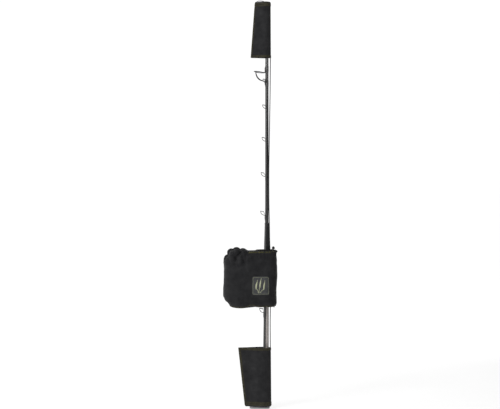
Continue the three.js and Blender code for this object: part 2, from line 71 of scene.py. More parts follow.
class Shape:
    """Vertices and faces gathered from several closed forms, made into one piece at the end."""

    def __init__(self):
        self.verts = []
        self.faces = []

    def add(self, verts, faces):
        base = len(self.verts)
        self.verts += [tuple(v) for v in verts]
        self.faces += [tuple(i + base for i in face) for face in faces]
        return self

    def loops(self, rows, closed=False):
        """A skin through closed loops of points; unless the rows close on themselves, flat lids end it."""
        count = len(rows[0])
        verts = [point for row in rows for point in row]
        faces = []
        pairs = len(rows) if closed else len(rows) - 1
        for level in range(pairs):
            here = level * count
            there = (level + 1) % len(rows) * count
            for i in range(count):
                j = (i + 1) % count
                faces.append((here + i, here + j, there + j, there + i))
        if not closed:
            for row, flip in ((0, True), (len(rows) - 1, False)):
                centre = sum((Vector(p) for p in rows[row]), Vector()) / count
                verts.append(centre)
                middle = len(verts) - 1
                for i in range(count):
                    a, b = row * count + i, row * count + (i + 1) % count
                    faces.append((b, a, middle) if flip else (a, b, middle))
        return self.add(verts, faces)

    def tube(self, points, radius, sides=12, closed=False, flat=1.0):
        """A round or flattened rod along points. radius is one value or one per point."""
        points = [Vector(p) for p in points]
        count = len(points)
        radii = radius if hasattr(radius, "__len__") else [radius] * count
        normal = None
        rows = []
        for i, point in enumerate(points):
            before = points[i - 1] if closed or i else point
            after = points[(i + 1) % count] if closed or i < count - 1 else point
            tangent = (after - before).normalized()
            if normal is None:
                normal = tangent.orthogonal()
            normal = (normal - tangent * normal.dot(tangent)).normalized()
            other = tangent.cross(normal)
            row = []
            for k in range(sides):
                angle = 2 * math.pi * k / sides
                out = normal * math.cos(angle) + other * (flat * math.sin(angle))
                row.append(point + out * radii[i])
            rows.append(row)
        return self.loops(rows, closed)

    def turned(self, profile, centre=(0, 0, 0), axis=UP, facets=48):
        """A turned form from (radius, height) pairs. A closed ring's profile comes back to its start."""
        turn = UP.rotation_difference(Vector(axis))
        rows = []
        for r, h in profile:
            row = []
            for k in range(facets):
                angle = 2 * math.pi * k / facets
                row.append(Vector(centre) + turn @ Vector((r * math.cos(angle), r * math.sin(angle), h)))
            rows.append(row)
        ring = profile[0] == profile[-1]
        return self.loops(rows[:-1] if ring else rows, closed=ring)

    def piece(self, name, material, body, slot, nodes=(), smooth=40):
        """Makes the object, rides it on a CAD body, and hides the CAD nodes it stands for."""
        mesh = bpy.data.meshes.new(name)
        mesh.from_pydata(self.verts, [], self.faces)
        mesh.validate()
        outward = bmesh.new()
        outward.from_mesh(mesh)
        bmesh.ops.recalc_face_normals(outward, faces=outward.faces)
        outward.to_mesh(mesh)
        outward.free()
        mesh.materials.append(material)
        obj = bpy.data.objects.new(name, mesh)
        bpy.context.scene.collection.objects.link(obj)
        mesh.shade_smooth()
        if smooth:
            mesh.set_sharp_from_angle(angle=math.radians(smooth))
        if body:
            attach(obj, body)
        if nodes:
            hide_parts(*nodes)
        return obj


def ease(value, low, high):
    """0 below low, 1 above high, and smooth between."""
    part = min(1.0, max(0.0, (value - low) / (high - low)))
    return part * part * (3 - 2 * part)


def hump(value, centre, width):
    """A rounded bump of height 1 round centre."""
    return math.exp(-((value - centre) / width) ** 2)


def curve_points(route, per_span=8):
    """Points of a smooth curve through a route's points."""
    knots = [Vector(p) for p in route]
    points = []
    for i in range(len(knots) - 1):
        before = knots[max(i - 1, 0)]
        start, end = knots[i], knots[i + 1]
        after = knots[min(i + 2, len(knots) - 1)]
        for k in range(per_span):
            t = k / per_span
            points.append(0.5 * (2 * start + (end - before) * t
                                 + (2 * before - 5 * start + 4 * end - after) * t * t
                                 + (3 * start - before - 3 * end + after) * t ** 3))
    points.append(knots[-1])
    return points


def along(points, spacing):
    """Points at an even spacing along a polyline, with the direction at each."""
    made = []
    left = 0.0
    for a, b in zip(points, points[1:]):
        length = (b - a).length
        while left < length:
            made.append((a.lerp(b, left / length), (b - a).normalized()))
            left += spacing
        left -= length
    return made


def box_centre(node):
    low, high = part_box(node)
    return (low + high) / 2


def box_radius(node):
    """Half a round node's width along x."""
    low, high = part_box(node)
    return (high.x - low.x) / 2


# ---- materials ------------------------------------------------------------------------------------

class Look:
    """A procedural material. Textures use object coordinates, which are metres in the shared frame."""

    def __init__(self, name, metallic=0.0, coat=0.0, coat_roughness=0.05, sheen=0.0, specular=0.5):
        self.material = bpy.data.materials.new(name)
        self.material.use_nodes = True
        self.tree = self.material.node_tree
        self.shader = self.tree.nodes["Principled BSDF"]
        self.shader.inputs["Metallic"].default_value = metallic
        self.shader.inputs["Specular IOR Level"].default_value = specular
        self.shader.inputs["Coat Weight"].default_value = coat
        self.shader.inputs["Coat Roughness"].default_value = coat_roughness
        self.shader.inputs["Sheen Weight"].default_value = sheen
        self.shader.inputs["Sheen Roughness"].default_value = 0.5
        self.coords = self.tree.nodes.new("ShaderNodeTexCoord")
        self.normal = None

    def texture(self, kind, scale, stretch=(1, 1, 1), turn=(0, 0, 0), detail=3.0, distortion=0.0):
        mapping = self.tree.nodes.new("ShaderNodeMapping")
        mapping.inputs["Scale"].default_value = stretch
        mapping.inputs["Rotation"].default_value = turn
        self.tree.links.new(self.coords.outputs["Object"], mapping.inputs["Vector"])
        node = self.tree.nodes.new("ShaderNodeTex" + {"noise": "Noise", "cells": "Voronoi"}.get(kind, "Wave"))
        node.inputs["Scale"].default_value = scale
        if kind == "noise":
            node.inputs["Detail"].default_value = detail
            node.inputs["Distortion"].default_value = distortion
        elif kind != "cells":
            node.bands_direction = kind
            node.inputs["Distortion"].default_value = distortion
            node.inputs["Detail"].default_value = 0.0
        self.tree.links.new(mapping.outputs["Vector"], node.inputs["Vector"])
        return node.outputs["Distance" if kind == "cells" else "Fac"]

    def mixed(self, a, b, mode="MULTIPLY"):
        node = self.tree.nodes.new("ShaderNodeMath")
        node.operation = mode
        self.tree.links.new(a, node.inputs[0])
        self.tree.links.new(b, node.inputs[1])
        return node.outputs[0]

    def colour(self, factor, stops):
        ramp = self.tree.nodes.new("ShaderNodeValToRGB")
        ramp.color_ramp.elements[0].position = stops[0][0]
        ramp.color_ramp.elements[0].color = (*stops[0][1], 1)
        ramp.color_ramp.elements[1].position = stops[-1][0]
        ramp.color_ramp.elements[1].color = (*stops[-1][1], 1)
        for place, value in stops[1:-1]:
            ramp.color_ramp.elements.new(place).color = (*value, 1)
        self.tree.links.new(factor, ramp.inputs["Fac"])
        self.tree.links.new(ramp.outputs["Color"], self.shader.inputs["Base Color"])
        return self

    def rough(self, factor, low, high):
        node = self.tree.nodes.new("ShaderNodeMapRange")
        node.inputs["From Min"].default_value = 0.3
        node.inputs["From Max"].default_value = 0.7
        node.inputs["To Min"].default_value = low
        node.inputs["To Max"].default_value = high
        self.tree.links.new(factor, node.inputs["Value"])
        self.tree.links.new(node.outputs["Result"], self.shader.inputs["Roughness"])
        return self

    def bump(self, height, distance, strength=1.0):
        node = self.tree.nodes.new("ShaderNodeBump")
        node.inputs["Distance"].default_value = distance
        node.inputs["Strength"].default_value = strength
        self.tree.links.new(height, node.inputs["Height"])
        if self.normal is not None:
            self.tree.links.new(self.normal, node.inputs["Normal"])
        self.normal = node.outputs["Normal"]
        self.tree.links.new(self.normal, self.shader.inputs["Normal"])
        return self


def knit_look(name, dark, light, sheen):
    """Jersey laminated on neoprene: fine ribs crossed by courses, soft pills and rubbed places."""
    look = Look(name, sheen=sheen, specular=0.16)
    patches = look.texture("noise", 38, detail=6)
    look.colour(patches, [(0.3, dark), (0.55, [(a + b) / 2 for a, b in zip(dark, light)]), (0.75, light)])
    look.rough(look.texture("noise", 60), 0.72, 0.95)
    ribs = look.mixed(look.texture("X", 520, distortion=0.6), look.texture("Z", 430, distortion=0.8))
    look.bump(ribs, 0.00025, 0.6)
    look.bump(look.texture("noise", 900, detail=4), 0.0002, 0.45)
    look.bump(look.texture("noise", 45, detail=2), 0.0012, 0.35)
    return look.material


def tape_look(name, dark, light, across="Z"):
    """Woven tape or webbing: raised diagonal twill lines with a fuzzy edge."""
    look = Look(name, sheen=0.05, specular=0.2)
    look.colour(look.texture("noise", 120, detail=5), [(0.3, dark), (0.72, light)])
    look.rough(look.texture("noise", 90), 0.65, 0.9)
    twill = look.mixed(look.texture(across, 900, turn=(0.4, 0.5, 0.3)), look.texture("X", 700), "ADD")
    look.bump(twill, 0.0002, 0.7)
    look.bump(look.texture("noise", 1500), 0.0001, 0.5)
    return look.material


def thread_look(name, dark, light, coat=0.0):
    look = Look(name, coat=coat, sheen=0.03, specular=0.3)
    look.colour(look.texture("noise", 260, detail=4), [(0.3, dark), (0.7, light)])
    look.rough(look.texture("noise", 200), 0.35, 0.6)
    look.bump(look.texture("noise", 3000, stretch=(1, 1, 3)), 0.0001, 0.6)
    return look.material


def blank_look(name, dark, light, roughness, coat):
    """A graphite blank: spiral tape marks under a clear coat, with fine handling scratches."""
    look = Look(name, coat=coat, coat_roughness=0.06)
    tape = look.texture("Z", 60, distortion=1.2)
    cloud = look.texture("noise", 90, stretch=(1, 1, 0.15), detail=5)
    look.colour(look.mixed(tape, cloud), [(0.1, dark), (0.75, light)])
    look.rough(look.texture("noise", 140, stretch=(1, 1, 0.1)), roughness, roughness + 0.16)
    look.bump(look.texture("Z", 95, distortion=0.8), 0.00008, 0.35)
    look.bump(look.texture("noise", 700, stretch=(1, 1, 0.05)), 0.00003, 0.3)
    return look.material


def metal_look(name, dark, light, roughness, metallic=1.0, coat=0.0, brushed=(1, 1, 0.08)):
    look = Look(name, metallic=metallic, coat=coat)
    look.colour(look.texture("noise", 110, detail=6), [(0.3, dark), (0.7, light)])
    look.rough(look.texture("noise", 420, stretch=brushed, detail=4), roughness, roughness + 0.2)
    look.bump(look.texture("noise", 1500, stretch=brushed, detail=3), 0.00002, 0.35)
    return look.material


def foam_look(name, dark, light):
    """Closed-cell foam: small cells, a skin sanded smooth and dulled by handling."""
    look = Look(name, sheen=0.05, specular=0.25)
    look.colour(look.texture("noise", 150, detail=6), [(0.3, dark), (0.75, light)])
    look.rough(look.texture("noise", 70), 0.7, 0.95)
    look.bump(look.texture("cells", 1600), 0.00012, 0.5)
    look.bump(look.texture("noise", 300, detail=4), 0.00015, 0.3)
    return look.material


def moulded_look(name, dark, light, roughness, coat=0.0):
    look = Look(name, coat=coat)
    look.colour(look.texture("noise", 60, detail=4), [(0.3, dark), (0.7, light)])
    look.rough(look.texture("noise", 180, detail=4), roughness, roughness + 0.18)
    look.bump(look.texture("noise", 1300, detail=3), 0.00004, 0.4)
    return look.material


NEOPRENE = knit_look("neoprene", (0.009, 0.009, 0.010), (0.020, 0.020, 0.021), sheen=0.06)
POUCH_CLOTH = knit_look("pouch_cloth", (0.008, 0.008, 0.009), (0.018, 0.018, 0.019), sheen=0.05)
BINDING = tape_look("binding", (0.013, 0.012, 0.008), (0.034, 0.031, 0.017))
HEM = tape_look("hem", (0.024, 0.023, 0.008), (0.075, 0.070, 0.022))
WEBBING = tape_look("webbing", (0.17, 0.16, 0.19), (0.30, 0.29, 0.33))
STITCH = thread_look("stitch", (0.030, 0.028, 0.014), (0.085, 0.075, 0.030))
WRAP = thread_look("wrap_thread", (0.004, 0.004, 0.005), (0.012, 0.012, 0.013), coat=0.8)
PATCH_THREAD = thread_look("patch_thread", (0.24, 0.25, 0.16), (0.40, 0.41, 0.28))
PATCH_EDGE = thread_look("patch_edge", (0.16, 0.17, 0.10), (0.28, 0.29, 0.18))
PATCH_FIELD = thread_look("patch_field", (0.022, 0.023, 0.024), (0.040, 0.041, 0.043))
BUTT = blank_look("butt_blank", (0.004, 0.004, 0.004), (0.014, 0.013, 0.013), 0.16, 1.0)
# The handle's light grey base colour is a painted highlight: the glossy blank's broad reflection of the white
# surroundings, laid into the colour.
HANDLE_HIGHLIGHT = blank_look("handle_painted_highlight", (0.27, 0.245, 0.23), (0.46, 0.425, 0.405), 0.34, 0.5)
TIP = blank_look("tip_blank", (0.012, 0.012, 0.012), (0.034, 0.034, 0.034), 0.38, 0.25)
CORD = tape_look("cord_braid", (0.007, 0.007, 0.008), (0.022, 0.022, 0.023))
FOAM = foam_look("foam", (0.012, 0.012, 0.013), (0.030, 0.030, 0.031))
RUBBER = moulded_look("rubber", (0.014, 0.014, 0.014), (0.030, 0.030, 0.030), 0.6)
SOLE = moulded_look("sole", (0.13, 0.13, 0.135), (0.22, 0.22, 0.23), 0.55)
PLASTIC = moulded_look("plastic", (0.008, 0.008, 0.009), (0.018, 0.018, 0.020), 0.32)
ALLOY = metal_look("alloy", (0.035, 0.036, 0.040), (0.075, 0.077, 0.084), 0.28, 0.7, coat=0.3)
FRAME = metal_look("guide_frame", (0.010, 0.010, 0.011), (0.024, 0.024, 0.025), 0.34, 0.4, coat=0.15)
CERAMIC = moulded_look("ceramic", (0.05, 0.055, 0.065), (0.10, 0.105, 0.12), 0.10, coat=1.0)
STEEL = metal_look("steel", (0.50, 0.50, 0.52), (0.68, 0.68, 0.70), 0.14)
BRASS = metal_look("brass", (0.52, 0.38, 0.16), (0.72, 0.54, 0.26), 0.2)
LINE = thread_look("line", (0.20, 0.24, 0.09), (0.36, 0.40, 0.19))


# ---- camera, light and stage ----------------------------------------------------------------------

CAMERA_X, CAMERA_FRONT = -0.061, -0.02
PICTURE_ASPECT = 500 / 409


def set_camera():
    """Level with the middle of the rod and square to it, as far back as a catalogue picture."""
    low, high = cad_box
    camera = bpy.data.cameras.new("camera")
    camera.lens = 85
    camera.sensor_width = 36
    rig = bpy.data.objects.new("camera", camera)
    height = high.z - low.z
    width = height * PICTURE_ASPECT
    distance = width * camera.lens / camera.sensor_width
    rig.location = (CAMERA_X, CAMERA_FRONT - distance, (low.z + high.z) / 2)
    rig.rotation_euler = (math.radians(90), 0, 0)
    bpy.context.scene.collection.objects.link(rig)
    bpy.context.scene.camera = rig


def add_light(name, location, target, size, power, colour=(1, 1, 1)):
    light = bpy.data.lights.new(name, "AREA")
    light.shape = "RECTANGLE"
    light.size, light.size_y = size
    light.energy = power
    light.color = colour
    rig = bpy.data.objects.new(name, light)
    rig.location = location
    rig.rotation_euler = (Vector(target) - Vector(location)).to_track_quat("-Z", "Y").to_euler()
    bpy.context.scene.collection.objects.link(rig)


def set_stage():
    """A seamless pale sweep from the floor up the back, softly lit."""
    sweep_radius = 1.2
    back = 8.0
    profile = [(-14.0, 0.0), (back - sweep_radius, 0.0)]
    for i in range(1, 17):
        angle = math.radians(90 * i / 16)
        profile.append((back - sweep_radius + sweep_radius * math.sin(angle),
                        sweep_radius - sweep_radius * math.cos(angle)))
    profile.append((back, 12.0))
    verts = [(x, y, z - 0.0005) for y, z in profile for x in (-14.0, 14.0)]
    faces = [(2 * i, 2 * i + 1, 2 * i + 3, 2 * i + 2) for i in range(len(profile) - 1)]
    mesh = bpy.data.meshes.new("backdrop")
    mesh.from_pydata(verts, [], faces)
    mesh.shade_smooth()
    paper = Look("paper")
    paper.colour(paper.texture("noise", 2), [(0.3, (0.28, 0.28, 0.28)), (0.7, (0.30, 0.30, 0.30))])
    paper.rough(paper.texture("noise", 30), 0.85, 0.95)
    paper.shader.inputs["Emission Color"].default_value = (1, 1, 1, 1)
    paper.shader.inputs["Emission Strength"].default_value = 0.75
    mesh.materials.append(paper.material)
    floor = bpy.data.objects.new("backdrop", mesh)
    bpy.context.scene.collection.objects.link(floor)

    world = bpy.data.worlds.new("studio")
    bpy.context.scene.world = world
    world.use_nodes = True
    world.node_tree.nodes["Background"].inputs["Color"].default_value = (1, 1, 1, 1)
    world.node_tree.nodes["Background"].inputs["Strength"].default_value = 0.75
    middle = (0, 0, 0.75)
    add_light("key", (-2.6, -2.6, 2.6), middle, (1.2, 2.0), 85)
    add_light("fill", (0.4, -4.0, 1.2), middle, (1.0, 2.4), 16)


def set_flag():
    """A black card to the right, hidden from the camera, that gives round things their dark right flank."""
    low, high = cad_box
    verts = [(1.25, -2.2, low.z), (1.25, 1.4, low.z), (1.25, 1.4, high.z + 0.6), (1.25, -2.2, high.z + 0.6)]
    mesh = bpy.data.meshes.new("flag")
    mesh.from_pydata(verts, [], [(0, 1, 2, 3)])
    velvet = Look("velvet")
    velvet.colour(velvet.texture("noise", 40), [(0.3, (0.004, 0.004, 0.004)), (0.7, (0.008, 0.008, 0.008))])
    velvet.rough(velvet.texture("noise", 80), 0.9, 1.0)
    mesh.materials.append(velvet.material)
    card = bpy.data.objects.new("flag", mesh)
    card.visible_camera = False
    bpy.context.scene.collection.objects.link(card)


def set_picture():
    """Plain colour handling, so that white paper is white and black cloth stays black."""
    bpy.context.scene.view_settings.view_transform = "Standard"
    bpy.context.scene.view_settings.look = "None"


set_camera()
set_stage()
set_flag()
set_picture()


# ---- rod blanks, grips and seat -------------------------------------------------------------------

def rounded(radius, low, high, edge, bore=None):
    """Profile of a turned solid or sleeve with softened edges."""
    outside = []
    for i in range(5):
        angle = math.radians(90 * i / 4)
        outside.append((radius - edge + edge * math.sin(angle), low + edge - edge * math.cos(angle)))
    for i in range(5):
        angle = math.radians(90 * i / 4)
        outside.append((radius - edge + edge * math.cos(angle), high - edge + edge * math.sin(angle)))
    if bore is None:
        return [(MM * 0.01, low), *outside, (MM * 0.01, high)]
    return [*outside, (bore, high), (bore, low), outside[0]]


def flowing(knots, steps=12):
    """A profile that passes smoothly through (radius, height) knots."""
    points = curve_points([(r, 0, h) for r, h in knots], steps)
    return [(p.x, p.z) for p in points]


class Axis:
    """A rod section's own frame: s runs along it, and x points away from its guides."""

    def __init__(self, node, low_r, high_r, upright=False):
        low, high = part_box(node)
        self.low_r, self.high_r = low_r, high_r
        self.start = Vector((low.x + low_r, low.y + low_r, low.z))
        end = Vector((high.x - high_r, high.y - high_r, high.z))
        if upright:
            end = Vector((self.start.x, self.start.y, high.z))
        self.length = (end - self.start).length
        self.direction = (end - self.start).normalized()
        self.turn = UP.rotation_difference(self.direction)

    def place(self, x, y, s):
        return self.start + self.turn @ Vector((x, y, s))

    def local(self, point):
        return self.turn.inverted() @ (Vector(point) - self.start)

    def radius(self, s):
        return self.low_r + s / self.length * (self.high_r - self.low_r)


butt_axis = Axis("butt_blank", 6.95 * MM, 5.9 * MM, upright=True)
tip_axis = Axis("tip_blank", 5 * MM, 1.4 * MM)


def blank_profile(axis, edge=0.6 * MM):
    """A blank's taper, with its two cut ends slightly rounded."""
    profile = [(0.01 * MM, 0.0), (axis.low_r - edge, 0.0), (axis.low_r, edge)]
    steps = 60
    for i in range(1, steps):
        s = axis.length * i / steps
        profile.append((axis.radius(s), s))
    profile += [(axis.high_r, axis.length - edge), (axis.high_r - edge, axis.length),
                (0.01 * MM, axis.length)]
    return profile


def make_blanks():
    Shape().turned(blank_profile(butt_axis), butt_axis.start, facets=64).piece(
        "butt_section", BUTT, "root", "blank", ["butt_blank"])
    Shape().turned(blank_profile(tip_axis), tip_axis.start, tip_axis.direction, 48).piece(
        "tip_section", TIP, "root", "tip_blank", ["tip_blank"])

    low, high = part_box("joint_spigot")
    radius = box_radius("joint_spigot")
    profile = rounded(radius, low.z, high.z, 0.9 * MM)
    profile = [(r - 0.5 * MM * ease(h, low.z, high.z) if r > MM else r, h) for r, h in profile]
    Shape().turned(profile).piece("joint_plug", TIP, "root", "tip_blank", ["joint_spigot"])

    # A thin sleeve over the blank between the rear grip and the seat, which carries the handle's painted
    # highlight.
    grip_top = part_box("rear_grip")[1].z
    seat_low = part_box("reel_seat")[0].z
    coat = 0.12 * MM
    profile = rounded(butt_axis.low_r + coat * 0.2, grip_top + 0.3 * MM, seat_low - 0.3 * MM, 0.3 * MM,
                      butt_axis.low_r - 0.6 * MM)
    Shape().turned(profile, facets=64).piece("handle_painted_highlight", HANDLE_HIGHLIGHT, "root", "blank")


def make_grips():
    low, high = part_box("butt_cap")
    r, blank_low = box_radius("butt_cap"), butt_axis.start.z
    profile = [(0.01 * MM, low.z + 0.6 * MM), (r * 0.45, low.z + 0.25 * MM), (r - 2.6 * MM, low.z)]
    profile += flowing([(r - 2.2 * MM, low.z + 0.1 * MM), (r - 0.5 * MM, low.z + 1 * MM),
                        (r, low.z + 2.6 * MM)], 5)
    for ridge in range(3):
        z = low.z + (3.4 + 1.5 * ridge) * MM
        profile += [(r, z), (r - 0.5 * MM, z + 0.3 * MM), (r - 0.5 * MM, z + 0.7 * MM), (r, z + 1.0 * MM)]
    profile += [(r, high.z - 0.3 * MM), (r - 0.3 * MM, high.z), (7.4 * MM, high.z),
                (7.4 * MM, blank_low - 0.4 * MM),
                (0.01 * MM, blank_low - 0.4 * MM)]
    Shape().turned(profile, facets=64).piece("butt_cap_moulded", RUBBER, "root", "rubber", ["butt_cap"], 30)

    low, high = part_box("rear_grip")
    r, bore = box_radius("rear_grip"), 7.3 * MM
    outside = flowing([(r - 0.5 * MM, low.z), (r, low.z + 2 * MM), (r - 0.1 * MM, low.z + 20 * MM),
                       (r - 0.6 * MM, low.z + 62 * MM), (r - 0.6 * MM, high.z - 62 * MM),
                       (r, high.z - 18 * MM),
                       (r - 0.5 * MM, high.z - 6 * MM), (r - 2 * MM, high.z - 0.6 * MM),
                       (r - 2.6 * MM, high.z)])
    Shape().turned([*outside, (bore, high.z), (bore, low.z), outside[0]], facets=64).piece(
        "rear_grip_foam", FOAM, "root", "foam", ["rear_grip"])

    low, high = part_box("fore_grip")
    r, top_r = box_radius("fore_grip"), 7.8 * MM
    bore = 6.95 * MM
    outside = flowing([(r - 0.8 * MM, low.z), (r, low.z + 2.5 * MM), (r, low.z + 28 * MM),
                       (r - 0.9 * MM, low.z + 62 * MM), (top_r + 0.1 * MM, high.z - 4 * MM),
                       (top_r - 0.5 * MM, high.z)])
    Shape().turned([*outside, (bore, high.z), (bore, low.z), outside[0]], facets=64).piece(
        "fore_grip_foam", FOAM, "root", "foam", ["fore_grip"])

    low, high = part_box("winding_check")
    r, bore = box_radius("winding_check"), 6.9 * MM
    outside = [(r - 0.4 * MM, low.z), (r, low.z + 0.4 * MM), (r, low.z + 1.6 * MM),
               (r - 0.5 * MM, low.z + 1.9 * MM),
               (r - 0.5 * MM, low.z + 2.4 * MM), (r, low.z + 2.7 * MM), (r - 0.3 * MM, low.z + 4 * MM),
               (r - 1.1 * MM, high.z - 0.3 * MM), (r - 1.4 * MM, high.z)]
    Shape().turned([*outside, (bore, high.z), (bore, low.z), outside[0]], facets=64).piece(
        "winding_check_turned", ALLOY, "root", "alloy", ["winding_check"])


def make_seat():
    """The reel seat's barrel, with its screw thread under the sliding hood and nut."""
    low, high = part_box("reel_seat")
    r, bore = box_radius("reel_seat"), 7.2 * MM
    thread_low, pitch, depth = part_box("sliding_hood")[0].z - 2 * MM, 1.5 * MM, 0.55 * MM
    outside = [(r - 0.6 * MM, low.z), (r, low.z + 0.6 * MM)]
    z = thread_low
    while z + pitch < high.z - 1 * MM:
        outside += [(r, z), (r - depth, z + 0.35 * pitch), (r - depth, z + 0.5 * pitch),
                    (r, z + 0.85 * pitch)]
        z += pitch
    outside += [(r, high.z - 0.6 * MM), (r - 0.6 * MM, high.z)]
    Shape().turned([*outside, (bore, high.z), (bore, low.z), outside[0]], facets=64).piece(
        "reel_seat_barrel", PLASTIC, "root", "plastic", ["reel_seat"], 30)


def knurled(shape, profile, centre, teeth, depth):
    """A turned form whose widest rows are cut into fine teeth."""
    widest = max(r for r, h in profile)
    rows = []
    for r, h in profile[:-1]:
        cut = depth if r > widest - 0.15 * MM else 0.0
        row = []
        for k in range(teeth * 4):
            angle = 2 * math.pi * k / (teeth * 4)
            reach = r - cut * (1, 0.5, 0, 0.5)[k % 4]
            row.append(Vector(centre) + Vector((reach * math.cos(angle), reach * math.sin(angle), h)))
        rows.append(row)
    return shape.loops(rows, closed=True)


def make_nut():
    low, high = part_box("lock_nut")
    r = box_radius("lock_nut")
    bore = 9.8 * MM
    outside = [(r - 1 * MM, low.z), (r, low.z + 0.8 * MM)]
    outside += [(r, low.z + (0.8 + 0.9 * i) * MM) for i in range(1, 11)]
    outside += [(r - 0.6 * MM, high.z - 3.6 * MM), (r - 1.6 * MM, high.z - 0.6 * MM), (r - 2.2 * MM, high.z)]
    profile = [*outside, (bore, high.z), (bore, low.z), outside[0]]
    knurled(Shape(), profile, (0, 0, 0), 40, 0.5 * MM).piece("lock_nut_knurled", ALLOY, "nut", "alloy",
                                                             ["lock_nut"], 30)


make_blanks()
make_grips()
make_seat()
make_nut()


# ---- line guides and their thread wraps -----------------------------------------------------------

GUIDE_TILT = math.radians(8)


def ring_profile(inner, outer, half):
    """A closed profile with rounded corners, for a ring of that bore, outside radius and half height."""
    middle, reach = (inner + outer) / 2, (outer - inner) / 2
    made = []
    for i in range(12):
        c, s = math.cos(2 * math.pi * i / 12), math.sin(2 * math.pi * i / 12)
        made.append((middle + reach * math.copysign(math.sqrt(abs(c)), c),
                     half * math.copysign(math.sqrt(abs(s)), s)))
    return made + made[:1]


def leg_route(start, bend, end, steps=14):
    """A curve from start to end that is drawn towards bend."""
    a, b, c = Vector(start), Vector(bend), Vector(end)
    return [a.lerp(b, i / steps).lerp(b.lerp(c, i / steps), i / steps) for i in range(steps + 1)]


def wrap(shape, axis, low, high, foot_low, foot_high, rise, half_width, coat=0.45 * MM):
    """Thread under varnish round a blank, higher over a foot that lies on the blank's left side."""
    rows = []
    steps, sides = 36, 40
    for i in range(steps + 1):
        part = i / steps
        s = low + part * (high - low)
        edge = math.sqrt(max(0.0, 1 - abs(2 * part - 1) ** 7))
        over = rise * ease(s, foot_low - 1 * MM, foot_low + 7 * MM) * (1 - ease(s, foot_high,
                                                                                foot_high + 2 * MM))
        base = axis.radius(s) - 0.15 * MM
        spread = math.asin(min(0.95, half_width / (base + rise))) * 1.25
        row = []
        for k in range(sides):
            angle = 2 * math.pi * k / sides
            reach = base + (coat + 0.15 * MM + over * math.exp(-((angle - math.pi) / spread) ** 4)) * edge
            row.append(axis.place(reach * math.cos(angle), reach * math.sin(angle), s))
        rows.append(row)
    return shape.loops(rows)


def foot_bar(shape, axis, low, high, thick, half_width, lift=0.25 * MM):
    """A guide's foot: a bar on the blank, ground to a thin edge at its free end."""
    rows = []
    for i in range(13):
        part = i / 12
        s = low + part * (high - low)
        height = thick * (0.18 + 0.82 * ease(part, 0.0, 0.45))
        wide = half_width * (0.55 + 0.45 * ease(part, 0.0, 0.35))
        inner = -axis.radius(s) - lift
        row = []
        for x, y in ((0, 1), (0.7, 1), (1, 0.6), (1, -0.6), (0.7, -1), (0, -1)):
            row.append(axis.place(inner - height * x, wide * y, s))
        rows.append(row)
    return shape.loops(rows)


def ring_and_insert(holder, insert, axis, centre, radius, wall, height):
    """The ring frame and the hard ring in it, tilted so that the far edge lies nearer the tip."""
    middle = axis.place(*centre)
    direction = axis.turn @ Vector((math.sin(GUIDE_TILT), 0, math.cos(GUIDE_TILT)))
    inner = radius - wall
    holder.turned(ring_profile(inner, radius, height / 2), middle, direction, 56)
    outer = inner - 0.2 * MM
    insert.turned(ring_profile(outer - wall * 1.1, outer, height / 2 + 0.3 * MM), middle, direction, 56)


def make_tip_guide(name):
    """A single-foot guide: scooped legs from the ring's far side down to one foot bound on the blank."""
    axis = tip_axis
    low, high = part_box(name + "_ring")
    radius = (high.y - low.y) / 2 + 0.8 * MM
    centre = axis.local(box_centre(name + "_ring"))
    drop, foot_length = 10 * MM + 0.5 * radius, 12 * MM + radius
    foot_high = centre.z - drop
    foot_low = foot_high - foot_length
    wire, insert = Shape(), Shape()
    ring_and_insert(wire, insert, axis, centre, radius, 0.55 * MM, 1.6 * MM)
    foot_bar(wire, axis, foot_low, foot_high, 1.1 * MM, 1.25 * MM)
    foot_x = -axis.radius(foot_high) - 0.8 * MM
    for side in (-1, 1):
        start = (centre.x - 0.80 * radius, side * 0.60 * radius, centre.z + 0.6 * MM)
        bend = (centre.x - 0.72 * radius, side * 0.42 * radius, foot_high + 0.8 * MM)
        end = (foot_x, side * 0.45 * MM, foot_high - 1 * MM)
        route = [axis.place(*p) for p in leg_route(start, bend, end)]
        wire.tube(route, [(0.85 + 0.25 * i / 14) * MM for i in range(15)], 12)
        post = leg_route((centre.x + 0.55 * radius, side * 0.84 * radius, centre.z - 0.5 * MM),
                         (foot_x - 0.5 * MM, side * 0.5 * radius, centre.z - 0.45 * drop),
                         (foot_x, side * 0.6 * MM, foot_high - 0.6 * MM))
        wire.tube([axis.place(*p) for p in post], 0.55 * MM, 10)
    wire.piece(name + "_legs", FRAME, "root", "guide_frame", [name + "_frame"])
    insert.piece(name + "_insert", CERAMIC, "root", "ceramic", [name + "_ring"])
    return foot_low, foot_high


